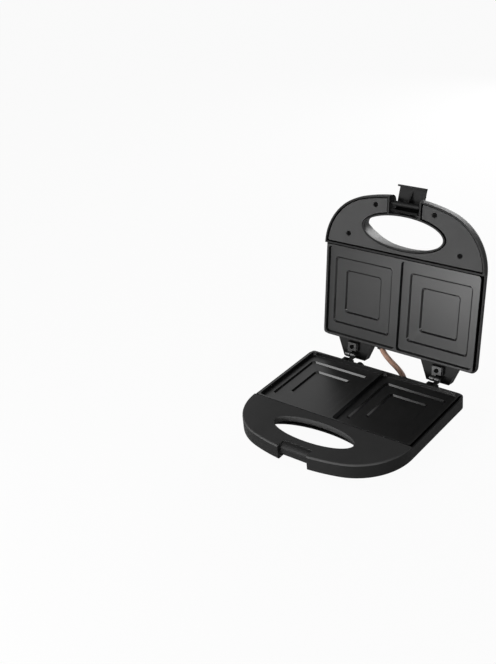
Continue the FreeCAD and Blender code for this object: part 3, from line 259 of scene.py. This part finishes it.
def start_finish(name, base, sockets, coordinates="Object"):
    """A new material with one Principled shader, given with its tree, the shader and its coordinates."""
    material = bpy.data.materials.new(name)
    material.use_nodes = True
    tree = material.node_tree
    shader = tree.nodes["Principled BSDF"]
    fill_sockets(tree, shader, {"Base Color": (*base, 1), **sockets})
    place = add_node(tree, "ShaderNodeTexCoord", {}, {}).outputs[coordinates]
    return material, tree, shader, place


def link_pattern(tree, shader, tint, gloss, bump):
    """Links a pattern's colour, roughness and bump to a finish's shader."""
    fill_sockets(tree, shader, {
        "Base Color": tint.outputs["Result"], "Roughness": gloss.outputs["Result"],
        "Normal": bump.outputs["Normal"]})


def moulded_plastic(name, base, roughness, specular, grain, grain_depth):
    """Injection-moulded plastic from an eroded mould: an even satin, a fine grain, faint flow clouds."""
    material, tree, shader, place = start_finish(name, base, {
        "IOR": 1.55, "Specular IOR Level": specular})
    clouds = add_node(tree, "ShaderNodeTexNoise", {}, {
        "Vector": place, "Scale": 1 / (FLOW_CLOUD * MM), "Detail": 2.0})
    pits = add_node(tree, "ShaderNodeTexNoise", {}, {
        "Vector": place, "Scale": 1 / (grain * MM), "Detail": 3.0, "Roughness": 0.6})
    tint = add_node(tree, "ShaderNodeMix", {"data_type": "RGBA"}, {
        "Factor": clouds.outputs["Fac"], "A": shade(base, 0.88), "B": shade(base, 1.12)})
    satin = add_node(tree, "ShaderNodeMapRange", {}, {
        "Value": pits.outputs["Fac"], "From Min": NOISE_LOW, "From Max": NOISE_HIGH,
        "To Min": roughness - 0.05, "To Max": roughness + 0.07})
    bump = add_node(tree, "ShaderNodeBump", {}, {
        "Strength": 0.6, "Distance": grain_depth * MM, "Height": pits.outputs["Fac"]})
    link_pattern(tree, shader, tint, satin, bump)
    return material


def casing_plastic():
    """Black heat-resistant casing plastic: a dark satin that shows its fine grain near by."""
    return moulded_plastic(
        "satin_black_moulded_PBT", colours().casing, roughness=0.5, specular=0.16, grain=CASING_GRAIN,
        grain_depth=0.02)


def cover_plastic():
    """Charcoal cover plastic: drier than the casing, its grain breaks the sheen to an even matt."""
    return moulded_plastic(
        "grained_charcoal_PBT", colours().cover, roughness=0.65, specular=0.05, grain=COVER_GRAIN,
        grain_depth=0.03)


def bezel_plastic():
    """Black plastic from a polished mould: a deep gloss, with faint waves in its reflections."""
    return moulded_plastic(
        "gloss_black_ABS", colours().bezel, roughness=0.16, specular=0.5, grain=GLOSS_WAVE,
        grain_depth=0.01)


def terminal_ceramic():
    """Cream pressed ceramic of the terminals and switches: dry and even, with a fine grain."""
    return moulded_plastic(
        "cream_moulded_ceramic", colours().ceramic, roughness=0.5, specular=0.5, grain=CERAMIC_GRAIN,
        grain_depth=0.02)


def non_stick_coat():
    """Sprayed non-stick coat on cast aluminium: grey satin on its flats, and black gloss on its steps, where the
    black is painted shade.
    """
    rubbed = colours().coat
    painted_shade = colours().coat_painted_shade
    material, tree, shader, place = start_finish(
        "non_stick_coat_on_cast_aluminium", rubbed, {"IOR": 1.5})
    unshaded_mask = add_node(tree, "ShaderNodeAttribute", {"attribute_name": UNSHADED_FLAT}, {}).outputs["Fac"]
    peel = add_node(tree, "ShaderNodeTexNoise", {}, {
        "Vector": place, "Scale": 1 / (COAT_PEEL * MM), "Detail": 2.0})
    drift = add_node(tree, "ShaderNodeTexNoise", {}, {
        "Vector": place, "Scale": 1 / (COAT_DRIFT * MM), "Detail": 2.0})
    flats = add_node(tree, "ShaderNodeMix", {"data_type": "RGBA"}, {
        "Factor": drift.outputs["Fac"], "A": shade(rubbed, 0.85), "B": shade(rubbed, 1.15)})
    # Painted shade: the step walls take the darker colour, and the flats keep their own
    tint = add_node(tree, "ShaderNodeMix", {"data_type": "RGBA"}, {
        "Factor": unshaded_mask, "A": (*painted_shade, 1), "B": flats.outputs["Result"]})
    gloss = add_node(tree, "ShaderNodeMapRange", {}, {"Value": unshaded_mask, "To Min": 0.18, "To Max": 0.36})
    bump = add_node(tree, "ShaderNodeBump", {}, {
        "Strength": 0.25, "Distance": 0.02 * MM, "Height": peel.outputs["Fac"]})
    link_pattern(tree, shader, tint, gloss, bump)
    return material


def brushed_silver():
    """Silver satin sheet: brushed from side to side, so long fine lines stretch its reflections."""
    base = colours().panel
    material, tree, shader, place = start_finish("brushed_silver_sheet", base, {"Metallic": 1.0})
    stretched = add_node(tree, "ShaderNodeMapping", {}, {
        "Vector": place, "Scale": (BRUSHED_SHARE, 1.0, 1.0)})
    lines = add_node(tree, "ShaderNodeTexNoise", {}, {
        "Vector": stretched.outputs["Vector"], "Scale": 1 / (BRUSHED_LINE * MM), "Detail": 3.0})
    tint = add_node(tree, "ShaderNodeMix", {"data_type": "RGBA"}, {
        "Factor": lines.outputs["Fac"], "A": shade(base, 0.93), "B": shade(base, 1.04)})
    satin = add_node(tree, "ShaderNodeMapRange", {}, {
        "Value": lines.outputs["Fac"], "From Min": NOISE_LOW, "From Max": NOISE_HIGH,
        "To Min": 0.3, "To Max": 0.42})
    bump = add_node(tree, "ShaderNodeBump", {}, {
        "Strength": 0.25, "Distance": 0.01 * MM, "Height": lines.outputs["Fac"]})
    link_pattern(tree, shader, tint, satin, bump)
    return material


def plated_steel(name, base, roughness):
    """Plated steel: a grey metal with a faint crystal mottle and rolling marks."""
    material, tree, shader, place = start_finish(name, base, {"Metallic": 1.0})
    mottle = add_node(tree, "ShaderNodeTexVoronoi", {"feature": "SMOOTH_F1"}, {
        "Vector": place, "Scale": 1 / (PLATING_MOTTLE * MM)})
    marks = add_node(tree, "ShaderNodeTexNoise", {}, {
        "Vector": place, "Scale": 1 / (ROLLING_MARK * MM), "Detail": 3.0})
    tint = add_node(tree, "ShaderNodeMix", {"data_type": "RGBA"}, {
        "Factor": mottle.outputs["Distance"], "A": shade(base, 1.05), "B": shade(base, 0.85)})
    satin = add_node(tree, "ShaderNodeMapRange", {}, {
        "Value": marks.outputs["Fac"], "From Min": NOISE_LOW, "From Max": NOISE_HIGH,
        "To Min": roughness - 0.06, "To Max": roughness + 0.08})
    bump = add_node(tree, "ShaderNodeBump", {}, {
        "Strength": 0.3, "Distance": 0.01 * MM, "Height": marks.outputs["Fac"]})
    link_pattern(tree, shader, tint, satin, bump)
    return material


def hinge_steel():
    """Dark-plated sheet steel: a grey satin metal that glints on its rounded edges."""
    return plated_steel("dark_plated_sheet_steel", colours().hinge, roughness=0.34)


def screw_steel():
    """Black-plated screw steel: nearly black, with a dull metal glint."""
    return plated_steel("black_plated_screw_steel", colours().screw, roughness=0.45)


def heater_steel():
    """Steel sheath of a heater: a dull warm grey."""
    return plated_steel("heater_sheath_steel", colours().heater, roughness=0.45)


def reflector_sheet():
    """Bright sheet behind a heater: pale, with clear reflections."""
    return plated_steel("bright_reflector_sheet", colours().reflector, roughness=0.25)


def moulded_rubber(name):
    """Black rubber: matt, slightly dusty, with a fine pitted skin."""
    base = colours().rubber
    material, tree, shader, place = start_finish(name, base, {"IOR": 1.5, "Specular IOR Level": 0.3})
    pits = add_node(tree, "ShaderNodeTexNoise", {}, {
        "Vector": place, "Scale": 1 / (RUBBER_PIT * MM), "Detail": 4.0})
    dust = add_node(tree, "ShaderNodeMix", {"data_type": "RGBA"}, {
        "Factor": pits.outputs["Fac"], "A": shade(base, 0.85), "B": shade(base, 1.35)})
    matt = add_node(tree, "ShaderNodeMapRange", {}, {
        "Value": pits.outputs["Fac"], "From Min": NOISE_LOW, "From Max": NOISE_HIGH,
        "To Min": 0.66, "To Max": 0.82})
    bump = add_node(tree, "ShaderNodeBump", {}, {
        "Strength": 0.5, "Distance": 0.03 * MM, "Height": pits.outputs["Fac"]})
    link_pattern(tree, shader, dust, matt, bump)
    return material


def braided_sleeve():
    """Braided glass-fibre sleeve: light and dark brown threads that cross, ribbed by its braid."""
    light = colours().sleeve
    material, tree, shader, along = start_finish("braided_glass_fibre_sleeve", light, {
        "IOR": 1.5, "Roughness": 0.7}, "UV")
    slanted = {"wave_type": "BANDS", "bands_direction": "DIAGONAL"}
    braid = add_node(tree, "ShaderNodeTexWave", slanted, {
        "Vector": along, "Scale": BRAID_SCALE, "Distortion": BRAID_WANDER})
    turned = add_node(tree, "ShaderNodeMapping", {}, {"Vector": along, "Scale": (-1.0, 1.0, 1.0)})
    counter_braid = add_node(tree, "ShaderNodeTexWave", slanted, {
        "Vector": turned.outputs["Vector"], "Scale": BRAID_SCALE, "Distortion": BRAID_WANDER})
    weave = add_node(tree, "ShaderNodeMath", {"operation": "MAXIMUM"}, {
        0: braid.outputs["Fac"], 1: counter_braid.outputs["Fac"]})
    threads = add_node(tree, "ShaderNodeMix", {"data_type": "RGBA"}, {
        "Factor": weave.outputs["Value"], "A": (*colours().sleeve_dark, 1), "B": (*light, 1)})
    bump = add_node(tree, "ShaderNodeBump", {}, {
        "Strength": 0.7, "Distance": 0.15 * MM, "Height": weave.outputs["Value"]})
    fill_sockets(tree, shader, {
        "Base Color": threads.outputs["Result"], "Normal": bump.outputs["Normal"]})
    return material


def lamp_lens(name, base):
    """Tinted clear plastic with ribs: it glows where light comes through and glints on its face."""
    material, tree, shader, place = start_finish(name, base, {
        "IOR": 1.49, "Transmission Weight": 0.35, "Coat Weight": 0.4})
    ribs = add_node(tree, "ShaderNodeTexWave", {"bands_direction": "X"}, {
        "Vector": place, "Scale": WAVE_LENGTH / (LENS_RIB * MM)})
    tint = add_node(tree, "ShaderNodeMix", {"data_type": "RGBA"}, {
        "Factor": ribs.outputs["Fac"], "A": shade(base, 0.85), "B": shade(base, 1.15)})
    gloss = add_node(tree, "ShaderNodeMapRange", {}, {
        "Value": ribs.outputs["Fac"], "To Min": 0.12, "To Max": 0.22})
    bump = add_node(tree, "ShaderNodeBump", {}, {
        "Strength": 0.25, "Distance": 0.1 * MM, "Height": ribs.outputs["Fac"]})
    link_pattern(tree, shader, tint, gloss, bump)
    return material


def lamp_glass():
    """Clear lamp glass with a faint uneven smoke."""
    base = colours().glass
    material, tree, shader, place = start_finish("clear_lamp_glass", base, {
        "IOR": 1.5, "Transmission Weight": 0.9})
    smoke = add_node(tree, "ShaderNodeTexNoise", {}, {
        "Vector": place, "Scale": 1 / (GLASS_SMOKE * MM), "Detail": 1.0})
    tint = add_node(tree, "ShaderNodeMix", {"data_type": "RGBA"}, {
        "Factor": smoke.outputs["Fac"], "A": shade(base, 0.8), "B": shade(base, 1.0)})
    gloss = add_node(tree, "ShaderNodeMapRange", {}, {
        "Value": smoke.outputs["Fac"], "From Min": NOISE_LOW, "From Max": NOISE_HIGH,
        "To Min": 0.03, "To Max": 0.1})
    fill_sockets(tree, shader, {
        "Base Color": tint.outputs["Result"], "Roughness": gloss.outputs["Result"]})
    return material


FINISHES = {
    "shell_plastic": casing_plastic,
    "cover_plastic": cover_plastic,
    "non_stick": non_stick_coat,
    "panel_steel": brushed_silver,
    "hinge_steel": hinge_steel,
    "screw_steel": screw_steel,
    "heater_steel": heater_steel,
    "reflector_sheet": reflector_sheet,
    "foot_rubber": lambda: moulded_rubber("matt_black_foot_rubber"),
    "bush_rubber": lambda: moulded_rubber("matt_black_bush_rubber"),
    "sleeve": braided_sleeve,
    "red_lens": lambda: lamp_lens("red_lens_polycarbonate", colours().red),
    "green_lens": lambda: lamp_lens("green_lens_polycarbonate", colours().green),
    "bezel_plastic": bezel_plastic,
    "lamp_glass": lamp_glass,
    "terminal_plastic": terminal_ceramic,
}
made_finishes = {}


def finish_of(slot):
    """The one material of a finish, made when it is first asked for."""
    if slot not in made_finishes:
        made_finishes[slot] = FINISHES[slot]()
    return made_finishes[slot]


def dress(*nodes):
    """Gives solids that show as they are their real finish."""
    for node in nodes:
        solid = frame["nodes"][node]
        solid.data.materials.clear()
        solid.data.materials.append(finish_of(SLOTS[node]))


def add_piece(name, shape, node):
    """Turns a bmesh into a piece that stands for one solid, rides its body and takes its finish."""
    mesh = bpy.data.meshes.new(name)
    shape.to_mesh(mesh)
    shape.free()
    mesh.shade_smooth()
    mesh.set_sharp_from_angle(angle=SHARP_TURN)
    mesh.materials.append(finish_of(SLOTS[node]))
    piece = bpy.data.objects.new(name, mesh)
    bpy.context.scene.collection.objects.link(piece)
    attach(piece, BODIES[node])
    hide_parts(node)
    return piece


def round_edges(piece, width, segments):
    """Rounds a piece's sharp edges with a live Bevel, and keeps its flat faces flat to the light."""
    bevel = piece.modifiers.new("edge_round", "BEVEL")
    bevel.width = width
    bevel.segments = segments
    bevel.limit_method = "ANGLE"
    bevel.angle_limit = SHARP_TURN
    bevel.miter_outer = "MITER_ARC"
    flats = piece.modifiers.new("flat_faces", "WEIGHTED_NORMAL")
    flats.weight = 100
    flats.keep_sharp = True


def soften(node, width, segments=2, flat_way=None):
    """Copies a solid with whole flat faces and rounded edges; faces square to a given way are marked as flats, and
    the others take painted shade.
    """
    shape = bmesh.new()
    shape.from_mesh(frame["nodes"][node].data)
    bmesh.ops.remove_doubles(shape, verts=shape.verts, dist=CORNER_REACH)
    bmesh.ops.dissolve_limit(shape, angle_limit=FLAT_TURN, verts=shape.verts, edges=shape.edges)
    if flat_way:
        rubbed = shape.faces.layers.float.new(UNSHADED_FLAT)
        # Faces off the given way are the step walls, which get painted shade
        for face in shape.faces:
            face[rubbed] = float(abs(face.normal.dot(flat_way)) > FLAT_SHARE)
    piece = add_piece(node + "_dressed", shape, node)
    round_edges(piece, width, segments)


class SANDWICH_MAKER_OT_cooking_plates(bpy.types.Operator):
    """Makes the two coated cooking plates"""

    bl_idname = "sandwich_maker.cooking_plates"
    bl_label = "Cooking Plates"

    def execute(self, context):
        level = Vector((0, 0, 1))
        soften("lower_plate", edges().coat, flat_way=level)
        soften("upper_plate", edges().coat, flat_way=LID_OPEN.to_3x3() @ level)
        return {"FINISHED"}


class SANDWICH_MAKER_OT_casing(bpy.types.Operator):
    """Makes the base's and the lid's casings and the bottom cover"""

    bl_idname = "sandwich_maker.casing"
    bl_label = "Casing"

    def execute(self, context):
        for node in ("base_shell", "lid_shell", "bottom_cover"):
            soften(node, edges().casing)
        return {"FINISHED"}


class SANDWICH_MAKER_OT_handle_covers(bpy.types.Operator):
    """Makes the covers of the two handles"""

    bl_idname = "sandwich_maker.handle_covers"
    bl_label = "Handle Covers"

    def execute(self, context):
        for node in ("base_handle_cover", "lid_handle_cover"):
            soften(node, edges().cover, segments=3)
        return {"FINISHED"}


class SANDWICH_MAKER_OT_lid_panel(bpy.types.Operator):
    """Makes the silver panel on the lid"""

    bl_idname = "sandwich_maker.lid_panel"
    bl_label = "Lid Panel"

    def execute(self, context):
        soften("lid_panel", edges().sheet)
        return {"FINISHED"}


class SANDWICH_MAKER_OT_lamps(bpy.types.Operator):
    """Makes the lamp bezel and lenses and dresses the lamps behind them"""

    bl_idname = "sandwich_maker.lamps"
    bl_label = "Lamps"

    def execute(self, context):
        for node in ("lamp_bezel", "red_lens", "green_lens"):
            soften(node, edges().sheet)
        dress("lamp_holder", "red_lamp", "green_lamp")
        return {"FINISHED"}


class SANDWICH_MAKER_OT_latch(bpy.types.Operator):
    """Makes the latch and dresses its pin"""

    bl_idname = "sandwich_maker.latch"
    bl_label = "Latch"

    def execute(self, context):
        soften("latch", edges().latch)
        dress("latch_pin")
        return {"FINISHED"}


class SANDWICH_MAKER_OT_hinges(bpy.types.Operator):
    """Makes the leaves and pins of the two hinges"""

    bl_idname = "sandwich_maker.hinges"
    bl_label = "Hinges"

    def execute(self, context):
        for side in ("left", "right"):
            for part in ("base_leaf", "lid_leaf", "pin"):
                soften("hinge_" + part + "_" + side, edges().sheet)
        return {"FINISHED"}


class SANDWICH_MAKER_OT_screws(bpy.types.Operator):
    """Makes the screws"""

    bl_idname = "sandwich_maker.screws"
    bl_label = "Screws"

    def execute(self, context):
        for group in ("base_cover", "lid_cover", "base_leaf", "lid_leaf", "base_tie", "lid_tie"):
            soften(group + "_screws", edges().screw)
        return {"FINISHED"}


class SANDWICH_MAKER_OT_feet(bpy.types.Operator):
    """Makes the rubber feet, the cord gland and the cable bushes"""

    bl_idname = "sandwich_maker.feet"
    bl_label = "Feet and Bushes"

    def execute(self, context):
        for end in ("front", "rear"):
            for side in ("left", "right"):
                soften(end + "_foot_" + side, edges().rubber)
        for node in ("cord_gland", "base_cable_bush", "lid_cable_bush"):
            soften(node, edges().sheet)
        return {"FINISHED"}


class SANDWICH_MAKER_OT_link_cable(bpy.types.Operator):
    """Makes the sleeved cable between base and lid"""

    bl_idname = "sandwich_maker.link_cable"
    bl_label = "Link Cable"

    def execute(self, context):
        route = [PLATES_AT + Vector(point) * MM for point in CABLE_ROUTE]
        line = bpy.data.curves.new("link_cable_route", "CURVE")
        line.dimensions = "3D"
        line.resolution_u = CABLE_STEPS
        spline = line.splines.new("NURBS")
        spline.points.add(len(route) - 1)
        for point, place in zip(spline.points, route):
            point.co = (*place, 1)
        spline.order_u = 3
        spline.use_endpoint_u = True
        guide = bpy.data.objects.new("link_cable_route", line)
        context.scene.collection.objects.link(guide)
        bare = bpy.data.meshes.new_from_object(guide)
        line.bevel_depth = edges().cable / 2
        line.bevel_resolution = CABLE_ROUNDNESS
        line.use_fill_caps = True
        context.view_layer.update()
        mesh = bpy.data.meshes.new_from_object(guide.evaluated_get(context.evaluated_depsgraph_get()))
        bpy.data.objects.remove(guide)
        mesh.shade_smooth()
        mesh.materials.clear()
        mesh.materials.append(finish_of("sleeve"))
        cable = bpy.data.objects.new("link_cable_dressed", mesh)
        context.scene.collection.objects.link(cable)
        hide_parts("link_cable")
        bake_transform(cable)
        return {"FINISHED"}


class SANDWICH_MAKER_OT_inside(bpy.types.Operator):
    """Dresses the heaters, reflectors and switches inside the casings"""

    bl_idname = "sandwich_maker.inside"
    bl_label = "Parts Inside"

    def execute(self, context):
        dress("lower_heater", "upper_heater", "lower_reflector", "upper_reflector")
        dress("thermostat", "thermal_fuse", "terminal_block")
        return {"FINISHED"}


class SANDWICH_MAKER_OT_stage(bpy.types.Operator):
    """Makes the pale floor, the soft light and the camera"""

    bl_idname = "sandwich_maker.stage"
    bl_label = "Stage"

    def execute(self, context):
        stage = context.scene.sandwich_maker_stage
        self.make_floor(stage)
        self.make_world(stage)
        self.make_camera(stage)
        for side, (size, place) in SOFTBOXES.items():
            self.make_lamp(side + "_softbox", getattr(stage, side + "_lamp"), size, place)
        context.scene.view_settings.view_transform = "Standard"
        return {"FINISHED"}

    def seen(self, tree, mirrored_share):
        """A value that is 1 for straight rays, and a share of it for rays mirrored or through glass."""
        rays = add_node(tree, "ShaderNodeLightPath", {}, {})
        mirrored = add_node(tree, "ShaderNodeMath", {"operation": "ADD", "use_clamp": True}, {
            0: rays.outputs["Is Glossy Ray"], 1: rays.outputs["Is Transmission Ray"]})
        both = add_node(tree, "ShaderNodeMath", {"operation": "MULTIPLY_ADD", "use_clamp": True}, {
            0: mirrored.outputs["Value"], 1: mirrored_share, 2: rays.outputs["Is Camera Ray"]})
        return both.outputs["Value"]

    def make_floor(self, stage):
        """White paper whose glow hides all but the object's shadow; mirrored, it keeps more shading."""
        shape = bmesh.new()
        bmesh.ops.create_grid(shape, x_segments=1, y_segments=1, size=FLOOR_HALF)
        mesh = bpy.data.meshes.new("floor")
        shape.to_mesh(mesh)
        shape.free()
        material = bpy.data.materials.new("white_studio_paper")
        material.use_nodes = True
        tree = material.node_tree
        tree.nodes.clear()
        paper = add_node(tree, "ShaderNodeBsdfDiffuse", {}, {"Color": (*stage.paper, 1)})
        glow = add_node(tree, "ShaderNodeEmission", {}, {"Color": WHITE, "Strength": 1.0})
        share = add_node(tree, "ShaderNodeMath", {"operation": "MULTIPLY"}, {
            0: self.seen(tree, MIRRORED_GLOW), 1: FLOOR_GLOW})
        mix = add_node(tree, "ShaderNodeMixShader", {}, {
            0: share.outputs["Value"], 1: paper.outputs["BSDF"], 2: glow.outputs["Emission"]})
        add_node(tree, "ShaderNodeOutputMaterial", {}, {"Surface": mix.outputs["Shader"]})
        mesh.materials.append(material)
        floor = bpy.data.objects.new("floor", mesh)
        bpy.context.scene.collection.objects.link(floor)

    def make_world(self, stage):
        """A studio with white walls and a dimmer ceiling, and an even soft light on the object."""
        world = bpy.data.worlds.new("white_studio")
        bpy.context.scene.world = world
        world.use_nodes = True
        tree = world.node_tree
        tree.nodes.clear()
        direction = add_node(tree, "ShaderNodeTexCoord", {}, {}).outputs["Generated"]
        height = add_node(tree, "ShaderNodeSeparateXYZ", {}, {"Vector": direction}).outputs["Z"]
        ceiling = add_node(tree, "ShaderNodeMapRange", {}, {
            "Value": height, "From Min": WALL_TOP, "From Max": CEILING_START,
            "To Min": 1.0, "To Max": CEILING_LIGHT})
        lit = add_node(tree, "ShaderNodeBackground", {}, {"Color": WHITE, "Strength": stage.ambient})
        shown = add_node(tree, "ShaderNodeBackground", {}, {
            "Color": WHITE, "Strength": ceiling.outputs["Result"]})
        mix = add_node(tree, "ShaderNodeMixShader", {}, {
            0: self.seen(tree, 1.0), 1: lit.outputs["Background"], 2: shown.outputs["Background"]})
        add_node(tree, "ShaderNodeOutputWorld", {}, {"Surface": mix.outputs["Shader"]})

    def make_camera(self, stage):
        """A camera at the maker's front right that looks down on it, rolled a little to one side."""
        azimuth = stage.azimuth
        elevation = stage.elevation
        right = Vector((math.cos(azimuth), math.sin(azimuth), 0))
        back = Vector((
            math.sin(azimuth) * math.cos(elevation), -math.cos(azimuth) * math.cos(elevation),
            math.sin(elevation)))
        up = back.cross(right)
        tilt = Matrix.Rotation(-stage.roll, 3, back)
        right, up = tilt @ right, tilt @ up
        data = bpy.data.cameras.new("camera")
        data.lens = stage.lens
        data.sensor_width = SENSOR_WIDTH
        camera = bpy.data.objects.new("camera", data)
        place = VIEW_POINT - stage.right * right + stage.down * up + stage.distance * back
        turn = Matrix((right, up, back)).transposed().to_4x4()
        camera.matrix_world = Matrix.Translation(place) @ turn
        bpy.context.scene.collection.objects.link(camera)
        bpy.context.scene.camera = camera

    def make_lamp(self, name, power, size, place):
        """A square soft lamp that looks at the maker."""
        lamp = bpy.data.lights.new(name, "AREA")
        lamp.energy = power
        lamp.size = size
        light = bpy.data.objects.new(name, lamp)
        light.location = place
        light.rotation_euler = (LAMP_AIM - place).to_track_quat("-Z", "Y").to_euler()
        bpy.context.scene.collection.objects.link(light)


class SANDWICH_MAKER_PT_pieces(bpy.types.Panel):
    """Lists what can be made"""

    bl_idname = "SANDWICH_MAKER_PT_pieces"
    bl_label = "Sandwich Maker"
    bl_space_type = "VIEW_3D"
    bl_region_type = "UI"
    bl_category = "Sandwich Maker"

    def draw(self, context):
        for operator in OPERATORS:
            self.layout.operator(operator.bl_idname)


GROUPS = {
    "sandwich_maker_edges": SandwichMakerEdges,
    "sandwich_maker_colours": SandwichMakerColours,
    "sandwich_maker_stage": SandwichMakerStage,
}
OPERATORS = (
    SANDWICH_MAKER_OT_stage,
    SANDWICH_MAKER_OT_link_cable,
    SANDWICH_MAKER_OT_cooking_plates,
    SANDWICH_MAKER_OT_casing,
    SANDWICH_MAKER_OT_handle_covers,
    SANDWICH_MAKER_OT_lid_panel,
    SANDWICH_MAKER_OT_lamps,
    SANDWICH_MAKER_OT_latch,
    SANDWICH_MAKER_OT_hinges,
    SANDWICH_MAKER_OT_screws,
    SANDWICH_MAKER_OT_feet,
    SANDWICH_MAKER_OT_inside,
)


def register():
    """Adds the settings to the scene, and the operators and the sidebar's panel to Blender."""
    for group in GROUPS.values():
        bpy.utils.register_class(group)
    for name, group in GROUPS.items():
        setattr(bpy.types.Scene, name, PointerProperty(type=group))
    for operator in OPERATORS:
        bpy.utils.register_class(operator)
    bpy.utils.register_class(SANDWICH_MAKER_PT_pieces)


def unregister():
    """Takes away what register adds."""
    bpy.utils.unregister_class(SANDWICH_MAKER_PT_pieces)
    for operator in reversed(OPERATORS):
        bpy.utils.unregister_class(operator)
    for name in GROUPS:
        delattr(bpy.types.Scene, name)
    for group in reversed(GROUPS.values()):
        bpy.utils.unregister_class(group)


def main():
    """Makes every piece and the stage."""
    register()
    bpy.ops.sandwich_maker.stage()
    bpy.ops.sandwich_maker.link_cable()
    bpy.ops.sandwich_maker.cooking_plates()
    bpy.ops.sandwich_maker.casing()
    bpy.ops.sandwich_maker.handle_covers()
    bpy.ops.sandwich_maker.lid_panel()
    bpy.ops.sandwich_maker.lamps()
    bpy.ops.sandwich_maker.latch()
    bpy.ops.sandwich_maker.hinges()
    bpy.ops.sandwich_maker.screws()
    bpy.ops.sandwich_maker.feet()
    bpy.ops.sandwich_maker.inside()


if __name__ == "__main__":
    main()
